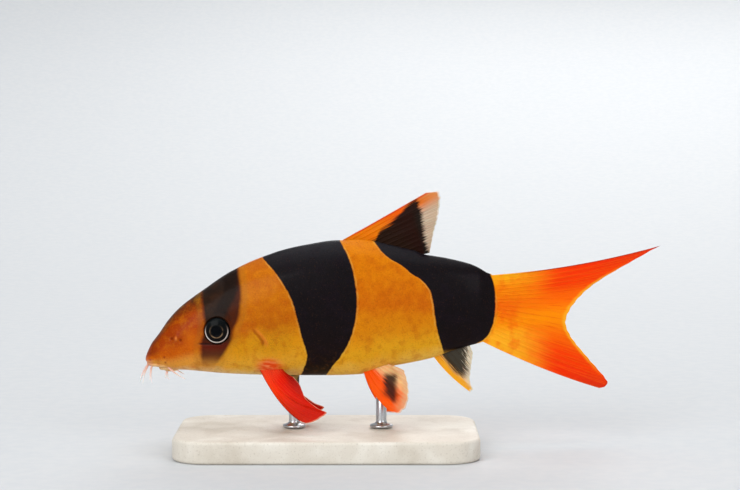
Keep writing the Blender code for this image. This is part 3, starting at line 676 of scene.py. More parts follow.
def tail_surface():
    root = (
        (0.0, (76.4, 0.6, 22.2)), (0.12, (77.6, 0.6, 19.9)), (0.5, (78.2, 0.6, 15.0)),
        (0.88, (77.0, 0.6, 10.2)), (1.0, (74.4, 0.4, 8.2)),
    )
    tips = (
        (0.0, (115.8, -1.2, 29.1)), (0.06, (112.0, -0.9, 27.0)), (0.22, (102.6, 0.6, 21.3)),
        (0.36, (97.6, 1.0, 16.9)), (0.5, (95.0, 1.2, 12.4)), (0.62, (96.0, 1.6, 8.6)),
        (0.78, (100.2, 3.2, 3.3)), (0.9, (104.2, 4.8, -1.3)), (0.95, (105.0, 5.2, -2.7)),
        (0.98, (104.6, 5.3, -3.6)), (1.0, (103.0, 5.4, -3.9)),
    )
    bow = ((0.0, (0.0, 0.3, -1.1)), (0.5, (0.0, 0.4, 0.0)), (1.0, (0.0, -0.6, -0.7)))
    return fan(root, tips, bow, ripple=0.15)


def anal_surface():
    tips = (
        (0.0, (73.3, 0.1, -4.1)), (0.12, (73.9, 0.1, -3.7)), (0.3, (73.3, 0.0, -1.5)),
        (0.6, (73.5, 0.0, 1.5)), (1.0, (73.9, 0.2, 4.7)),
    )
    bow = ((0.0, (-0.5, 0.3, -0.4)), (0.5, (0.0, -0.3, -0.1)), (1.0, (0.0, 0.0, 0.0)))
    root = root_on_outline(VENT_FRONT, VENT_REAR, BELLY_LINE, -ROOT_DEPTH)
    return fan(root, tips, bow, ripple=0.08)


def pectoral_surface(side):
    root = root_on_side((0.0, 25.2, 2.4), (0.5, 27.6, 2.3), (1.0, 30.2, 2.0))
    tips = (
        (0.0, (35.3, 10.9, -9.1)), (0.08, (36.6, 11.2, -9.5)), (0.18, (38.4, 11.3, -9.0)),
        (0.28, (40.0, 11.2, -8.1)), (0.37, (41.1, 11.0, -7.2)), (0.48, (39.2, 10.6, -6.3)),
        (0.58, (37.7, 10.2, -5.3)), (0.68, (36.4, 9.8, -4.2)), (0.78, (35.7, 9.3, -2.7)),
        (0.88, (35.0, 8.8, -1.2)), (1.0, (33.6, 8.0, 0.4)),
    )
    bow = (
        (0.0, (0.0, 0.5, -1.8)), (0.4, (-1.4, 1.2, -1.8)), (0.7, (0.0, 1.2, -0.8)),
        (1.0, (0.3, 0.6, -0.6)),
    )
    return fan(root, tips, bow, side, BREAST_SWING[side], ripple=0.1)


def pelvic_surface(side):
    root = root_on_side((0.0, 48.9, 1.3), (0.5, 50.8, 1.6), (1.0, 53.0, 2.2))
    tips = (
        (0.0, (55.5, 5.9, -7.9)), (0.12, (57.0, 6.0, -8.1)), (0.3, (58.7, 5.9, -6.8)),
        (0.5, (59.3, 5.6, -4.2)), (0.75, (59.1, 5.0, -1.3)), (1.0, (58.3, 4.0, 1.3)),
    )
    bow = ((0.0, (-0.8, 0.4, -0.7)), (0.5, (0.2, 0.5, 0.1)), (1.0, (0.3, 0.3, 0.2)))
    return fan(root, tips, bow, side, BELLY_SWING[side], ripple=0.08)


dorsal = make_fin(
    "back_fin", "dorsal_fin", dorsal_surface(), rays=12, rows=64, ray_thickness=0.62, scallop=0.01
)
tail = make_fin(
    "forked_tail", "tail_fin", tail_surface(), rays=19, rows=90, stiff_ends=(0, 18), scallop=0.008,
    root=1.1,
)
anal = make_fin("vent_fin", "anal_fin", anal_surface(), rays=8, rows=44)
pectorals, pelvics = [], []
for side, word in SIDE_NAMES.items():
    name, node = f"breast_fin_{word}", f"pectoral_fin_{word}"
    shape = pectoral_surface(side)
    made = make_fin(name, node, shape, rays=14, rows=64, per_ray=10, ray_thickness=0.55, scallop=0.004)
    pectorals.append(made)
for side, word in SIDE_NAMES.items():
    name, node = f"belly_fin_{word}", f"pelvic_fin_{word}"
    pelvics.append(make_fin(name, node, pelvic_surface(side), rays=8, rows=48))
print("tail faces before thickness:", len(tail.data.polygons))

# %% [markdown]
# ## Shorthand for materials
# A material is a small machine of nodes. Here, what a node gives out is reckoned with like a
# number, and each step of the sum adds a node. Places are told in the fish's own millimetres, so
# that a number read off the fish is the number written here. Colours are written as a screen
# shows them and are turned into amounts of light.

# %% Material shorthand
HIGHEST, LONGEST = 45.0, 120.0  # how far the curves reach, in millimetres


def tint(red, green, blue):
    """A colour given as 0 to 255 on a screen, as amounts of light."""

    def light(value):
        share = value / 255
        return share / 12.92 if share <= 0.04045 else ((share + 0.055) / 1.055) ** 2.4

    return light(red), light(green), light(blue), 1.0


def reckoning(operation, backwards=False):
    """A way to reckon with a value: it adds one node and gives what comes out of it."""

    def reckon(self, other=None):
        return self.recipe.math(operation, *((other, self) if backwards else (self, other)))

    return reckon


class Value:
    """What a node gives out. It is reckoned with like a number."""

    __add__ = __radd__ = reckoning("ADD")
    __sub__, __rsub__ = reckoning("SUBTRACT"), reckoning("SUBTRACT", backwards=True)
    __mul__, __truediv__ = reckoning("MULTIPLY"), reckoning("DIVIDE")
    least, most, size = reckoning("MINIMUM"), reckoning("MAXIMUM"), reckoning("ABSOLUTE")

    def __init__(self, recipe, socket):
        self.recipe, self.socket = recipe, socket

    def ease(self, low, high):
        """0 where this is low, 1 where it is high, with a soft rise between."""
        span = {"Value": self, "From Min": low, "From Max": high}
        return self.recipe.node("MapRange", span, interpolation_type="SMOOTHSTEP")

    def mixed(self, other, share):
        """This colour with a share of another laid over it."""
        return self.recipe.mix(share, self, other)

    def layered(self, *layers):
        """This colour with (colour, share) layers laid over it, one after another."""
        laid = self
        for other, share in layers:
            laid = laid.mixed(other, share)
        return laid

    def curve(self, knots, span, reach):
        """The smooth curve through the knots, read at this value from 0 to span, up to reach."""
        made = self.recipe.node("FloatCurve", {"Value": self / span})
        mapping = made.socket.node.mapping
        points = mapping.curves[0].points
        for index, (at, height) in enumerate(knots):
            if index < 2:
                points[index].location = (at / span, height / reach)
            else:
                points.new(at / span, height / reach)
        mapping.update()
        return made * reach

    def back_from_snout(self, line):
        """Where a line that is told by height lies, read at this height."""
        return self.curve(line, HIGHEST, LONGEST)

    def height_of(self, line):
        """How high a line lies, read at this distance from the snout."""
        return self.curve(line, LONGEST, HIGHEST)

    def ramp(self, *stops):
        """Colours told by (place, red, green, blue), read at this value."""
        made = self.recipe.node("ValToRGB", {0: self})
        colours = made.socket.node.color_ramp
        colours.interpolation = "EASE"
        for index, (at, *colour) in enumerate(stops):
            stop = colours.elements[index] if index < 2 else colours.elements.new(at)
            stop.position, stop.color = at, tint(*colour)
        return made

    def stretched(self, *scale):
        return self.recipe.node("Mapping", {"Vector": self, "Scale": scale})

    def noise(self, scale, detail=2.0, distortion=0.0):
        grain = {"Vector": self, "Scale": scale, "Detail": detail, "Distortion": distortion}
        return self.recipe.node("TexNoise", grain)

    def cells(self, scale):
        return self.recipe.node("TexVoronoi", {"Vector": self, "Scale": scale})

    def bump(self, distance, below=None):
        height = {"Height": self, "Normal": below, "Strength": 1.0, "Distance": distance * MM}
        return self.recipe.node("Bump", height)


class Recipe:
    """One material, with the place on the fish in millimetres ready to use."""

    def __init__(self, name, **settings):
        self.material = bpy.data.materials.new(name)
        self.material.use_nodes = True
        self.nodes, self.links = self.material.node_tree.nodes, self.material.node_tree.links
        self.shader = self.nodes["Principled BSDF"]
        for socket, value in settings.items():
            self.shader.inputs[socket.replace("_", " ")].default_value = value
        in_millimetres = {
            "Vector": self.node("TexCoord", {}, out="Object"),
            "Scale": (1 / MM, 1 / MM, 1 / MM),
            "Location": (BALANCE_POINT, 0, -BELLY_LEVEL),
        }
        self.place = self.node("Mapping", in_millimetres)
        self.x, _, self.z = self.parts(self.place)

    def feed(self, socket, value):
        """Links a node's value to a socket, or sets a plain one there; None leaves it alone."""
        if isinstance(value, Value):
            self.links.new(value.socket, socket)
        elif value is not None:
            socket.default_value = tint(*value) if socket.type == "RGBA" else value

    def node(self, kind, inputs, out=0, **settings):
        made = self.nodes.new("ShaderNode" + kind)
        for name, setting in settings.items():
            setattr(made, name, setting)
        for socket, value in inputs.items():
            self.feed(made.inputs[socket], value)
        return Value(self, made.outputs[out])

    def attribute(self, name):
        return self.node("Attribute", {}, out="Fac", attribute_name=name)

    def parts(self, vector):
        split = self.node("SeparateXYZ", {0: vector}).socket.node
        return [Value(self, socket) for socket in split.outputs]

    def math(self, operation, *values):
        return self.node("Math", dict(enumerate(values)), operation=operation)

    def mix(self, share, first, second):
        return self.node("Mix", {0: share, 6: first, 7: second}, out=2, data_type="RGBA")

    def spot(self, at, size, stretch=1.0):
        """1 at a place on the side of the fish, falling softly to 0 at its size."""
        dx, dz = (self.x - at[0]) / stretch, self.z - at[1]
        return self.math("SQRT", dx * dx + dz * dz).ease(size, 0.0)

    def finish(self, colour, normal=None, roughness=None, alpha=None, glow=None):
        fed = {
            "Base Color": colour, "Subsurface Weight": glow, "Normal": normal,
            "Roughness": roughness, "Alpha": alpha,
        }
        for socket, value in fed.items():
            self.feed(self.shader.inputs[socket], value)
        return self.material


def dress(material, slot, *pieces):
    """The pieces wear the material; the slot's name is only printed."""
    for piece in pieces:
        piece.data.materials.clear()
        piece.data.materials.append(material)
    print(slot, "wears", material.name, "of", len(material.node_tree.nodes), "nodes")


print("orange as light:", [round(value, 3) for value in tint(209, 104, 12)])

# %% [markdown]
# ## The skin's colours
# The loach is orange with three black bands: one through the eye, one behind the head that runs
# on a slant, and one from the back fin down to the tail. Their edges are read off the fish as
# curves, told by height. Each edge is soft and wanders a little. The orange itself is redder on
# the snout, golden on the cheek, and pale towards the belly.

# %% Skin pattern
BAND_1_FRONT = (
    (0.0, 13.3), (2.2, 13.1), (4.4, 12.9), (8.0, 13.0), (10.2, 13.7), (14.3, 13.5), (17.6, 13.0),
    (20.0, 12.8),
)
BAND_1_REAR = (
    (0.0, 14.6), (2.3, 16.0), (4.0, 17.2), (6.6, 18.9), (8.6, 19.9), (10.8, 20.3), (13.4, 21.4),
    (16.0, 21.8), (20.0, 21.9), (23.3, 21.2), (26.0, 20.6),
)
BAND_2_FRONT = (
    (0.0, 35.1), (2.1, 35.9), (4.6, 36.6), (8.9, 35.6), (13.2, 34.5), (17.1, 33.4), (21.0, 31.3),
    (24.0, 29.0), (26.5, 26.5), (30.0, 23.6),
)
BAND_2_REAR = (
    (0.0, 40.8), (2.3, 42.2), (4.3, 43.8), (6.9, 45.4), (9.7, 46.6), (13.1, 47.4), (17.2, 47.7),
    (20.9, 47.4), (24.6, 46.6), (27.6, 45.4), (30.3, 43.9), (32.0, 43.0),
)
BAND_3_FRONT = (
    (0.0, 68.9), (5.6, 67.1), (9.5, 65.9), (13.3, 65.2), (16.9, 64.7), (19.7, 63.8), (21.9, 61.8),
    (22.8, 60.3), (24.9, 57.6), (26.5, 54.9), (28.8, 52.5), (32.0, 50.6),
)
BAND_3_REAR = (
    (0.0, 68.2), (4.5, 71.4), (6.5, 74.0), (8.0, 76.5), (9.8, 77.8), (13.0, 78.7), (16.7, 78.9),
    (20.3, 78.6), (22.8, 77.7), (26.0, 76.4),
)
SOFT_EDGE, CRISP_EDGE = 0.62, 0.16
STALK_STOPS = (
    (0.0, 250, 172, 30), (0.25, 248, 146, 2), (0.5, 240, 108, 2), (0.75, 244, 134, 4),
    (1.0, 246, 170, 20),
)


def band(x, z, front, rear, softness):
    """How much a band covers a place, and how near the place is to the outside of its edges."""
    inside = (x - z.back_from_snout(front)).least(z.back_from_snout(rear) - x)
    outer = inside.ease(-softness * 3.2, -softness * 1.6)
    return inside.ease(-softness, softness), outer * inside.ease(softness * 0.4, -softness)


def orange_ground(recipe):
    """The orange from the snout to the tail stalk, with its mottling."""
    place, x, z = recipe.place, recipe.x, recipe.z
    belly = x.height_of(BELLY_LINE)
    height = (z - belly) / (x.height_of(BACK_LINE) - belly) + (place.noise(0.22, 3.0) - 0.5) * 0.16
    snout = height.ramp(
        (0.0, 230, 192, 136), (0.12, 216, 146, 56), (0.32, 190, 84, 0), (0.58, 160, 54, 0),
        (0.78, 152, 52, 0), (0.88, 114, 42, 4), (1.0, 60, 28, 12),
    )
    cheek = height.ramp(
        (0.0, 232, 198, 120), (0.09, 218, 160, 46), (0.28, 204, 138, 14), (0.45, 180, 92, 0),
        (0.7, 192, 104, 0), (1.0, 186, 96, 0),
    )
    middle = height.ramp(
        (0.0, 232, 184, 76), (0.15, 220, 158, 26), (0.38, 208, 122, 4), (0.55, 198, 98, 0),
        (0.8, 206, 112, 0), (1.0, 214, 120, 0),
    )
    colour = snout.mixed(cheek, x.ease(12.0, 22.0)).mixed(middle, x.ease(32.0, 38.0))
    colour = colour.mixed(height.ramp(*STALK_STOPS), x.ease(64.0, 76.0))
    mottle = place.noise(0.55, 6.0, 0.1)
    colour = colour.mixed((176, 72, 0), mottle.ease(0.48, 0.68) * 0.34)
    colour = colour.mixed((226, 140, 8), mottle.ease(0.5, 0.32) * 0.2)
    dust = place.noise(3.2, 3.0)
    colour = colour.mixed((140, 66, 2), dust.ease(0.52, 0.72) * 0.3)
    return colour.mixed((232, 150, 20), dust.ease(0.54, 0.26) * 0.16), height, dust


def face_marks(recipe, colour, height):
    """Nostrils with painted shade in their pits, pores, lips and crown, painted shade on the snout's front
    rim, and the marks behind the gill cover with painted shade in the gill slot.
    """
    place, x, z, spot = recipe.place, recipe.x, recipe.z, recipe.spot
    colour = colour.mixed((140, 44, 0), spot((6.4, 9.0), 4.4, 1.2) * 0.35)
    colour = colour.mixed((206, 104, 2), spot((10.6, 9.0), 3.4, 0.8) * 0.5)
    # painted shade: the nostril pits are darkened, as shade falls into them
    for pit in NOSTRILS:
        colour = colour.mixed((104, 26, 2), spot(pit, 0.58) * 0.42)
    colour = colour.mixed((232, 138, 62), spot(NOSTRIL_FLAP, 0.8, 0.6) * 0.65)
    for pore in PORES:
        colour = colour.mixed((130, 30, 10), spot(pore, 0.42) * 0.7)
    crown = height.ease(0.86, 1.04) * x.ease(15.0, 10.0) * x.ease(2.0, 6.0)
    colour = colour.layered(
        ((62, 30, 12), crown * 0.4),
        # painted shade: the front rim of the snout is darkened where the outline turns away from the light
        ((104, 34, 0), x.ease(4.4, 1.6) * z.ease(3.8, 5.2) * 0.5),
        ((214, 140, 118), x.ease(2.4, 0.8) * z.ease(4.0, 2.4) * 0.7),
    )

    squiggle = place.stretched(1.0, 1.0, 1.6).noise(1.7, 2.0, 2.2)
    lines = squiggle.ease(0.53, 0.49) * squiggle.ease(0.43, 0.47)
    colour = colour.mixed((122, 92, 22), lines * spot((29.0, 8.5), 6.0) * 0.5)
    behind = x - z.back_from_snout(COVER_EDGE)
    level = z.ease(6.4, 8.0) * z.ease(11.6, 10.0)
    # painted shade: the sunk slot behind the gill cover is darkened
    slot = behind.ease(-0.35, 0.1) * behind.ease(0.75, 0.25) * level
    colour = colour.mixed((150, 62, 6), slot * 0.6)
    ridge = behind.ease(0.35, 0.8) * behind.ease(1.9, 0.9) * level
    colour = colour.mixed((222, 122, 40), ridge * 0.6)
    sinew = place.stretched(0.35, 0.35, 1.5).noise(1.3, 2.0)
    flush = recipe.mix(sinew.ease(0.4, 0.62), (216, 52, 10), (228, 116, 70))
    return colour.mixed(flush, spot((28.2, 2.4), 3.4, 1.5).ease(0.05, 0.9) * 0.9)


def eye_band_colour(x, z, cast, clouds):
    """The band through the eye is brown in front, black behind and rusty at its rear edge."""
    colour = (z / 25.0).ramp(
        (0.08, 112, 72, 44), (0.2, 84, 40, 20), (0.28, 86, 22, 10), (0.36, 50, 22, 8),
        (0.5, 36, 20, 8), (0.7, 36, 24, 16), (0.9, 34, 27, 25),
    )
    colour = colour.mixed((58, 30, 12), cast.ease(0.4, 0.65) * 0.35)
    from_edge = z.back_from_snout(BAND_1_REAR) - x - z.ease(20.0, 14.0) * 1.9
    colour = colour.mixed((12, 6, 4), from_edge.ease(4.6, 3.2) * z.ease(12.0, 15.0) * 0.9)
    rusty = from_edge.ease(1.5, 0.1) * z.ease(23.0, 19.0) * z.ease(8.0, 11.0)
    colour = colour.mixed((76, 26, 2), rusty * 0.75)
    return colour.mixed((14, 9, 8), clouds.ease(0.42, 0.62) * z.ease(9.0, 14.0) * 0.35)


def black_colour(z, cast, clouds, dust):
    """The other two bands are black, frayed with brown towards the belly, and painted lighter and bluish
    towards the back as a painted sheen.
    """
    # painted sheen: the ramp turns lighter and bluish towards the back, standing in for light reflected off
    # the skin
    colour = (z / 31.0).ramp(
        (0.0, 44, 30, 10), (0.12, 22, 11, 10), (0.45, 15, 9, 12), (0.75, 18, 14, 17), (1.0, 30, 29, 34)
    )
    return colour.layered(
        ((22, 13, 22), cast.ease(0.45, 0.7) * 0.4),
        ((4, 3, 4), dust.ease(0.5, 0.7) * 0.35),
        ((74, 44, 10), clouds.ease(0.5, 0.66) * z.ease(7.0, 2.0) * 0.55),
    )


def skin_colour(recipe):
    """The whole pattern of the skin, with painted shade in the slit under the eye and in the socket round
    the eye, in the fish's own millimetres.
    """
    place, x, z = recipe.place, recipe.x, recipe.z
    colour, height, dust = orange_ground(recipe)
    colour = face_marks(recipe, colour, height)
    wander = (place.noise(0.8, 3.0) - 0.5) * 0.4 + (place.noise(4.0, 2.0) - 0.5) * 0.16
    ragged_x = x + wander
    first, first_halo = band(ragged_x, z, BAND_1_FRONT, BAND_1_REAR, SOFT_EDGE)
    second, second_halo = band(ragged_x, z, BAND_2_FRONT, BAND_2_REAR, CRISP_EDGE)
    third, third_halo = band(ragged_x, z, BAND_3_FRONT, BAND_3_REAR, CRISP_EDGE)
    third = third * z.ease(3.2, 6.0)
    patchy = place.noise(0.4, 2.0).ease(0.36, 0.6) * 0.26 + 0.05
    colour = colour.mixed((214, 180, 84), second_halo.most(third_halo) * patchy)
    colour = colour.mixed((150, 112, 30), first_halo * 0.22)
    cast, clouds = place.noise(0.35, 3.0), place.noise(0.8, 4.0, 0.4)
    colour = colour.mixed(eye_band_colour(x, z, cast, clouds), first * z.ease(0.8, 5.5) * 0.99)
    colour = colour.mixed(black_colour(z, cast, clouds, dust), second.most(third))

    # painted shade: the slit under the eye is darkened along its length
    slit_shade_span = x.ease(SLIT_START, SLIT_START + 1.5) * x.ease(SLIT_END, SLIT_END - 0.6)
    colour = colour.mixed((38, 16, 12), slit_shade_span * (z - SLIT_Z).size().ease(0.34, 0.08) * 0.8)
    # painted shade: the skin in the socket round the eye is darkened
    return colour.mixed((26, 18, 16), recipe.spot((EYE_X, EYE_Z), 3.9).ease(0.08, 0.32))


print("edges read at", len(BAND_2_REAR), "heights")

# %% Skin material
def make_skin_material():
    recipe = Recipe(
        "loach_skin", Roughness=0.4, Specular_IOR_Level=0.05, Coat_Weight=0.035, Coat_Roughness=0.12,
        Subsurface_Weight=0.06, Subsurface_Scale=MM, Subsurface_Radius=(1.2, 0.5, 0.25),
    )
    speck = recipe.place.noise(3.6, 3.0)
    colour = skin_colour(recipe).mixed((90, 52, 20), speck.ease(0.55, 0.8) * 0.22)
    pebble = recipe.place.noise(1.4, 4.0)
    normal = pebble.bump(0.06, recipe.place.cells(2.6).bump(0.02))
    return recipe.finish(colour, normal, pebble * 0.16 + 0.34)


skin_material = make_skin_material()
dress(skin_material, "skin_trunk", skin)
dress(skin_material, "skin_head", upper_lip, lower_lip, chin)

# %% [markdown]
# ## Feeler and eye materials
# Feelers are thin pale flesh, almost see-through, so light is let into them. The eye is black
# with a silver crescent that is brightest below, a thin bronze ring, and a wet clear coat.

# %% Feeler material
def make_feeler_material():
    recipe = Recipe(
        "feeler_flesh", Roughness=0.4, Specular_IOR_Level=0.3, Coat_Weight=0.05, Coat_Roughness=0.25,
        Subsurface_Weight=0.5, Subsurface_Scale=MM, Subsurface_Radius=(0.9, 0.4, 0.3),
    )
    colour = recipe.mix(recipe.z.ease(2.0, -1.5), (232, 180, 158), (250, 238, 234))
    rings = recipe.place.noise(3.0, 2.0)
    return recipe.finish(colour.mixed((222, 150, 136), rings.ease(0.45, 0.7) * 0.2), rings.bump(0.04))


dress(make_feeler_material(), "barbel", *barbels)

# %% Eye material
def make_eye_material():
    recipe = Recipe(
        "wet_eye", Roughness=0.3, Specular_IOR_Level=0.03, Coat_Weight=0.05, Coat_Roughness=0.03
    )
    place, x, z, r = recipe.place, recipe.x, recipe.z, recipe.attribute("radius")
    below = z.ease(EYE_Z + 1.6, EYE_Z - 1.4)
    front = x.ease(EYE_X + 2.5, EYE_X - 2.0)
    grain = place.stretched(2.0, 2.0, 2.0).noise(1.6, 3.0)
    # painted sheen: the top of the eye is painted slightly bluer and lighter than its bottom
    colour = recipe.mix(z.ease(EYE_Z - 1, EYE_Z + 2.5), (12, 9, 9), (10, 14, 15))
    bronze = r.ease(1.3, 1.42) * r.ease(1.68, 1.54) * below * place.noise(0.9, 3.0).ease(0.3, 0.6)
    colour = colour.mixed((140, 112, 84), bronze * 0.8)
    shine = recipe.mix(below * (front * 0.4 + 0.6), (112, 92, 82), (224, 214, 206))
    shine = shine.mixed((150, 120, 100), grain * 0.25)
    silver = r.ease(2.38, 2.48) * r.ease(2.72, 2.6) * z.ease(EYE_Z + 1.7, EYE_Z - 0.4)
    colour = colour.mixed(shine, silver).mixed((1, 2, 5), r.ease(1.15, 1.02))
    return recipe.finish(colour, grain.bump(0.015))


dress(make_eye_material(), "eye", *eyes)

# %% [markdown]
# ## Fin materials
# The fins carry the skin's colours on: orange with black patches on the back, vent and belly
# fins, deep red on the breast fins, and a tail that burns from yellow at its root to red at its
# tips. Colour is laid along the rays with the fin's own map, so that streaks follow them.

# %% Fin shorthand
class FinRecipe(Recipe):
    """A moist web that lets light through: u across the rays, v out along them."""

    def __init__(self, name, glow):
        super().__init__(
            name, Roughness=0.4, Specular_IOR_Level=0.05, Coat_Weight=0.02, Coat_Roughness=0.2,
            Subsurface_Weight=glow, Subsurface_Scale=MM, Subsurface_Radius=(1.6, 0.6, 0.3),
        )
        self.flat = self.node("UVMap", {}, uv_map="OFBake")
        self.u, self.v, _ = self.parts(self.flat)
        self.ray = self.attribute("ray")
        self.streak = self.flat.stretched(70.0, 3.0, 1.0).noise(1.0, 3.0)

    def joined(self, joints):
        """Fine joints across the rays, and the wrinkles of the web."""
        wrinkle = self.flat.stretched(160.0, 12.0, 1.0).noise(1.0, 2.0)
        rows = self.math("SINE", self.v * joints).ease(0.2, 1.0)
        return (rows * self.ray).bump(0.03, wrinkle.bump(0.03))


# %% Back fin material
PATCH_TOP = (
    (0.0, 28.0), (51.8, 30.4), (52.7, 32.2), (55.1, 33.9), (57.3, 36.0), (59.3, 38.3), (60.9, 39.5),
    (64.0, 40.0), (70.0, 41.0),
)
PATCH_REAR = (
    (0.0, 64.6), (27.4, 64.2), (28.6, 63.6), (30.4, 63.0), (33.4, 62.7), (35.7, 62.4), (37.7, 61.9),
    (40.0, 61.0), (44.0, 60.0),
)
PATCH_FRONT = 51.3


def make_back_fin_material():
    recipe = FinRecipe("back_fin_web", 0.35)
    x, z, u, v, ray = recipe.x, recipe.z, recipe.u, recipe.v, recipe.ray
    colour = v.ramp(
        (0.0, 204, 112, 0), (0.3, 216, 114, 0), (0.62, 222, 88, 2), (0.8, 206, 108, 34), (1.0, 206, 132, 76)
    )
    rear = u.ease(0.1, 0.3) * v.ease(0.66, 0.8)
    colour = colour.mixed((192, 176, 154), rear).mixed((150, 124, 96), rear * ray * 0.55)
    colour = colour.mixed((206, 56, 16), u.ease(0.05, 0.02) * v.ease(0.12, 0.3) * 0.8)
    inside = (x.height_of(PATCH_TOP) - z).least(z.back_from_snout(PATCH_REAR) - x).least(x - PATCH_FRONT)
    patch = (inside + (recipe.streak - 0.5) * 2.6).ease(-0.6, 0.6)
    colour = colour.mixed(recipe.mix(ray * 0.4, (6, 5, 5), (20, 14, 8)), patch * 0.98)
    rim = v.ease(0.975, 0.995).most(u.ease(0.014, 0.004) * v.ease(0.2, 0.4))
    colour = colour.mixed((240, 232, 226), rim * 0.75)
    return recipe.finish(colour, recipe.joined(joints=220.0), glow=(1.0 - patch) * 0.3)


dress(make_back_fin_material(), "banded_fin", dorsal)

# %% Tail material
STALK_BOTTOM, STALK_DEPTH = 8.2, 14.1  # where the stalk meets the tail


def make_tail_material():
    recipe = FinRecipe("tail_web", 0.3)
    x, z, u, v, streak = recipe.x, recipe.z, recipe.u, recipe.v, recipe.streak
    lobe = ((u - 0.5) * 2.0).size()
    root = lobe.ramp((0.0, 255, 146, 10), (0.5, 255, 128, 8), (0.8, 250, 96, 4), (1.0, 240, 74, 8))
    out = lobe.ramp((0.0, 255, 140, 0), (0.35, 252, 96, 0), (0.62, 250, 58, 0), (1.0, 244, 44, 0))
    colour = root.mixed(out, v.ease(0.15, 0.6))
    colour = colour.layered(
        ((208, 44, 14), lobe.ease(0.72, 0.98) * v.ease(0.55, 1.0) * 0.85),
        ((226, 54, 0), streak.ease(0.5, 0.72) * 0.45),
        ((255, 120, 4), recipe.ray * 0.25),
        ((255, 176, 40), v.ease(0.93, 0.985) * lobe.ease(0.85, 0.5) * 0.7),
    )
    burn = recipe.place.noise(0.42, 4.0).ease(0.44, 0.68) * x.ease(92.0, 82.0)
    flesh = ((z - STALK_BOTTOM) / STALK_DEPTH).ramp(*STALK_STOPS).mixed((234, 84, 0), burn * 0.5)
    colour = colour.layered(
        (flesh, (x + streak * 6.0).ease(97.0, 84.0)),
        ((92, 24, 10), u.ease(0.012, 0.003) * v.ease(0.1, 0.4) * 0.7),
        ((15, 9, 12), (z.back_from_snout(BAND_3_REAR) - x).ease(-0.12, 0.2)),
    )
    return recipe.finish(colour, recipe.joined(joints=300.0))


dress(make_tail_material(), "tail_fin", tail)

# %% Vent and belly fin materials
def make_banded_material(name, strip, pale, strip_share, patch_colour, patch_place):
    """A coloured leading strip, a streaky black patch behind it, and a pale clear margin."""
    recipe = FinRecipe(name, 0.4)
    u, v, rag = recipe.u, recipe.v, recipe.streak - 0.5
    across = u + rag * 0.3
    colour = recipe.mix(across.ease(strip_share, strip_share + 0.3), strip, pale)
    clear = (v + rag * 0.3).ease(0.72, 0.95) * u.ease(0.05, 0.3)
    colour = colour.mixed(pale, clear * 0.7)
    patch = patch_place(recipe.x, recipe.z, rag, across)
    colour = colour.layered(
        (patch_colour, patch * 0.95),
        (recipe.mix(patch, strip, (60, 42, 24)), recipe.ray * 0.25),
        ((246, 238, 226), v.ease(0.96, 0.99) * 0.6),
    )
    see_through = clear.most(across.ease(0.6, 0.85) * v.ease(0.3, 0.5))
    bare = 1.0 - patch
    alpha = 1.0 - see_through * bare * 0.3
    return recipe.finish(colour, recipe.joined(joints=160.0), alpha=alpha, glow=bare * 0.35)


def vent_patch(x, z, rag, across):
    """From the band's edge down behind the leading strip, ragged towards the rear."""
    return across.ease(0.14, 0.24) * (z + rag * 8.0).ease(-2.2, 0.4) * (x + rag * 6.0).ease(73.3, 71.9)


def belly_patch(x, z, rag, across):
    """An upright row of dark blotches, one to each ray."""
    back = x + rag * 3.6
    upright = back.ease(53.2, 54.4) * back.ease(57.2, 56.0) * across.ease(0.14, 0.26)
    return upright * z.ease(-6.6, -5.2) * (z + rag).ease(1.2, -0.2)


vent_web = make_banded_material(
    "vent_fin_web", strip=(240, 164, 36), pale=(238, 222, 196), strip_share=0.1,
    patch_colour=(16, 14, 6), patch_place=vent_patch,
)
belly_web = make_banded_material(
    "belly_fin_web", strip=(252, 84, 2), pale=(240, 186, 130), strip_share=0.32,
    patch_colour=(34, 16, 10), patch_place=belly_patch,
)
dress(vent_web, "banded_fin", anal)
dress(belly_web, "banded_fin", *pelvics)

# %% Breast fin material
def make_breast_fin_material():
    recipe = FinRecipe("breast_fin_web", 0.3)
    u, v = recipe.u, recipe.v
    colour = u.ramp((0.0, 255, 70, 0), (0.3, 250, 40, 0), (0.6, 228, 20, 0), (1.0, 170, 10, 0))
    colour = colour.layered(
        ((232, 84, 44), v.ease(0.35, 0.0) * 0.8),
        ((176, 14, 10), recipe.streak.ease(0.48, 0.7) * 0.5),
        ((255, 84, 20), recipe.ray * 0.3),
        ((132, 10, 10), u.ease(0.5, 0.9) * v.ease(0.3, 0.6) * 0.6),
        ((160, 6, 2), recipe.z.ease(-2.0, -8.0) * 0.75),
        ((96, 14, 10), u.ease(0.04, 0.012) * 0.8),
        ((250, 170, 140), v.ease(0.975, 0.995) * 0.6),
    )
    return recipe.finish(colour, recipe.joined(joints=180.0))


dress(make_breast_fin_material(), "red_fin", *pectorals)

# %% [markdown]
# ## The stand
# A fish has no feet, so the model rests on two thin steel posts over a slab of pale stone. The
# slab is a block with rounded corners and a softened edge; each post is a profile turned once
# round, and it ends just inside the skin of the belly.

# %% Stand
PLATE_SIZE = (68.0, 40.0, 5.0)
PLATE_CORNER, PLATE_EDGE = 8.0, 0.8
POSTS = {"front": (33.5, 17.6), "rear": (53.2, 19.0)}  # back from the snout, height of the top
POST_PROFILE = (
    (0.0, 0.3), (2.35, 0.3), (2.55, 0.36), (2.6, 0.5), (2.57, 0.72), (2.4, 0.86), (1.75, 1.05),
    (1.36, 1.25), (1.22, 1.6), (1.2, 2.2),
)
POST_RADIUS = 1.2


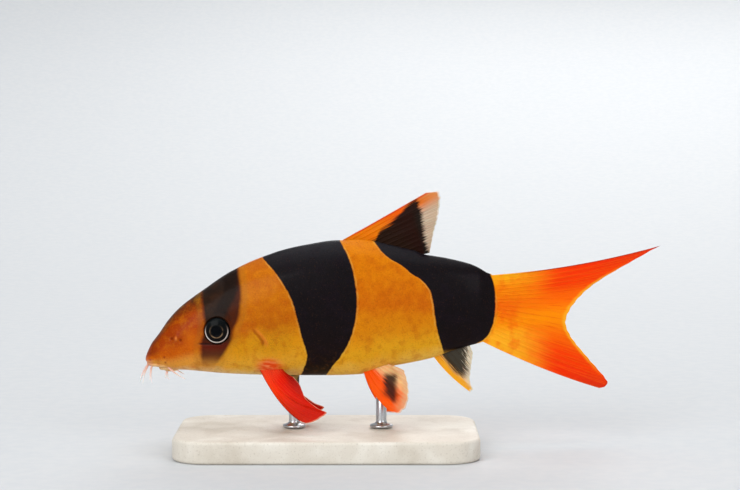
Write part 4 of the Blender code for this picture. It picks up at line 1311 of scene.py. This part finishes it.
def make_plate():
    mesh = bmesh.new()
    bmesh.ops.create_cube(mesh, size=1)
    length, width, height = (size * MM for size in PLATE_SIZE)
    shape = Matrix.Translation((0, 0, height / 2)) @ Matrix.Diagonal((length, width, height, 1))
    bmesh.ops.transform(mesh, matrix=shape, verts=mesh.verts)
    for upright, offset, segments in ((True, PLATE_CORNER, 24), (False, PLATE_EDGE, 5)):
        heights = {edge: abs(edge.verts[0].co.z - edge.verts[1].co.z) for edge in mesh.edges}
        chosen = [edge for edge, tall in heights.items() if (tall > height / 2) == upright]
        bmesh.ops.bevel(
            mesh, geom=chosen, offset=offset * MM, affect="EDGES", segments=segments,
            profile=0.5, material=-1,
        )
    return piece_from(mesh, "stand_slab", "stand_base")


def make_post(word, x, top):
    height = top - PLATE_SIZE[2]
    profile = POST_PROFILE + ((POST_RADIUS, height), (0.0, height))
    mesh = turned(profile, steps=64, closeness=0.001)
    foot = Vector((x - BALANCE_POINT, 0, PLATE_SIZE[2])) * MM
    standing = Matrix.Translation(foot) @ Matrix.Scale(MM, 4)
    bmesh.ops.transform(mesh, matrix=standing, verts=mesh.verts)
    return piece_from(mesh, f"stand_post_{word}", f"stand_rod_{word}")


plate = make_plate()
posts = [make_post(word, x, top) for word, (x, top) in POSTS.items()]
print("slab faces:", len(plate.data.polygons))

# %% Stone and steel
def make_stone():
    recipe = Recipe("honed_stone", Roughness=0.5)
    cloud, grain = recipe.place.noise(0.12, 6.0, 0.4), recipe.place.noise(2.4, 3.0)
    colour = cloud.ramp((0.3, 206, 196, 180), (0.5, 220, 212, 198), (0.7, 232, 226, 214))
    colour = colour.mixed((170, 158, 140), grain.ease(0.56, 0.7) * 0.35)
    return recipe.finish(colour, grain.bump(0.03))


def make_steel():
    recipe = Recipe("brushed_steel", Metallic=1.0)
    brushed = recipe.place.stretched(1.0, 1.0, 14.0).noise(1.5, 3.0)
    colour = brushed.ramp((0.3, 176, 178, 182), (0.7, 208, 210, 212))
    return recipe.finish(colour, brushed.bump(0.01), brushed * 0.16 + 0.22)


dress(make_stone(), "base", plate)
dress(make_steel(), "steel", *posts)

# %% [markdown]
# ## Floor and light
# A museum piece is shown on plain paper that curves up behind it, so no horizon crosses the
# picture. Large soft lights stand above, in front and behind; one more lights the paper. Big
# lights close to the fish give wide, gentle highlights, as daylight does on wet skin.

# %% Floor and light
FLOOR_RADIUS, WALL_CURVE, WALL_HEIGHT, WALL_STEPS = 0.4, 1.6, 2.0, 16


def make_floor():
    """A pale disc that curves up into a wall all round, so that no view meets a horizon."""
    profile = [(0.0, 0.0), (FLOOR_RADIUS, 0.0)]
    for step in range(1, WALL_STEPS + 1):
        angle = math.pi / 2 * step / WALL_STEPS
        out, up = math.sin(angle), 1 - math.cos(angle)
        profile.append((FLOOR_RADIUS + WALL_CURVE * out, WALL_CURVE * up))
    profile.append((FLOOR_RADIUS + WALL_CURVE, WALL_HEIGHT))
    mesh = turned(profile, steps=96, closeness=0.0001)
    bmesh.ops.recalc_face_normals(mesh, faces=mesh.faces)
    data = bpy.data.meshes.new("floor")
    mesh.to_mesh(data)
    mesh.free()
    data.shade_smooth()
    made = bpy.data.objects.new("floor", data)
    bpy.context.scene.collection.objects.link(made)
    return made


floor = make_floor()
paper = Recipe("pale_paper", Roughness=0.8)
paper_colour = paper.place.noise(0.3, 3.0).ramp((0.3, 204, 206, 208), (0.7, 208, 209, 210))
floor.data.materials.append(paper.finish(paper_colour))

LIGHTS = (  # name, place, size, power, what it faces
    ("overhead", (0.0, 0.0, 1.0), 1.0, 5.3, AIM),
    ("front_left", (-0.5, -0.85, 0.55), 0.6, 5.8, AIM),
    ("front_right", (0.65, -0.75, 0.45), 0.5, 2.2, AIM),
    ("behind", (0.2, 0.9, 0.6), 0.6, 3.5, AIM),
    ("backdrop", (0.0, 0.6, 1.3), 0.8, 4.0, (0.0, 2.0, 0.4)),
)
for name, at, size, power, towards in LIGHTS:
    light = bpy.data.lights.new(name, "AREA")
    light.size, light.energy = size, power
    facing(name, light, at, towards)
print(len(LIGHTS), "lights")

world = bpy.data.worlds.new("studio")
world.use_nodes = True
sky = world.node_tree.nodes["Background"].inputs
sky["Color"].default_value, sky["Strength"].default_value = (0.9, 0.95, 1.0, 1), 0.4
bpy.context.scene.world = world
bpy.context.scene.view_settings.view_transform = "Standard"
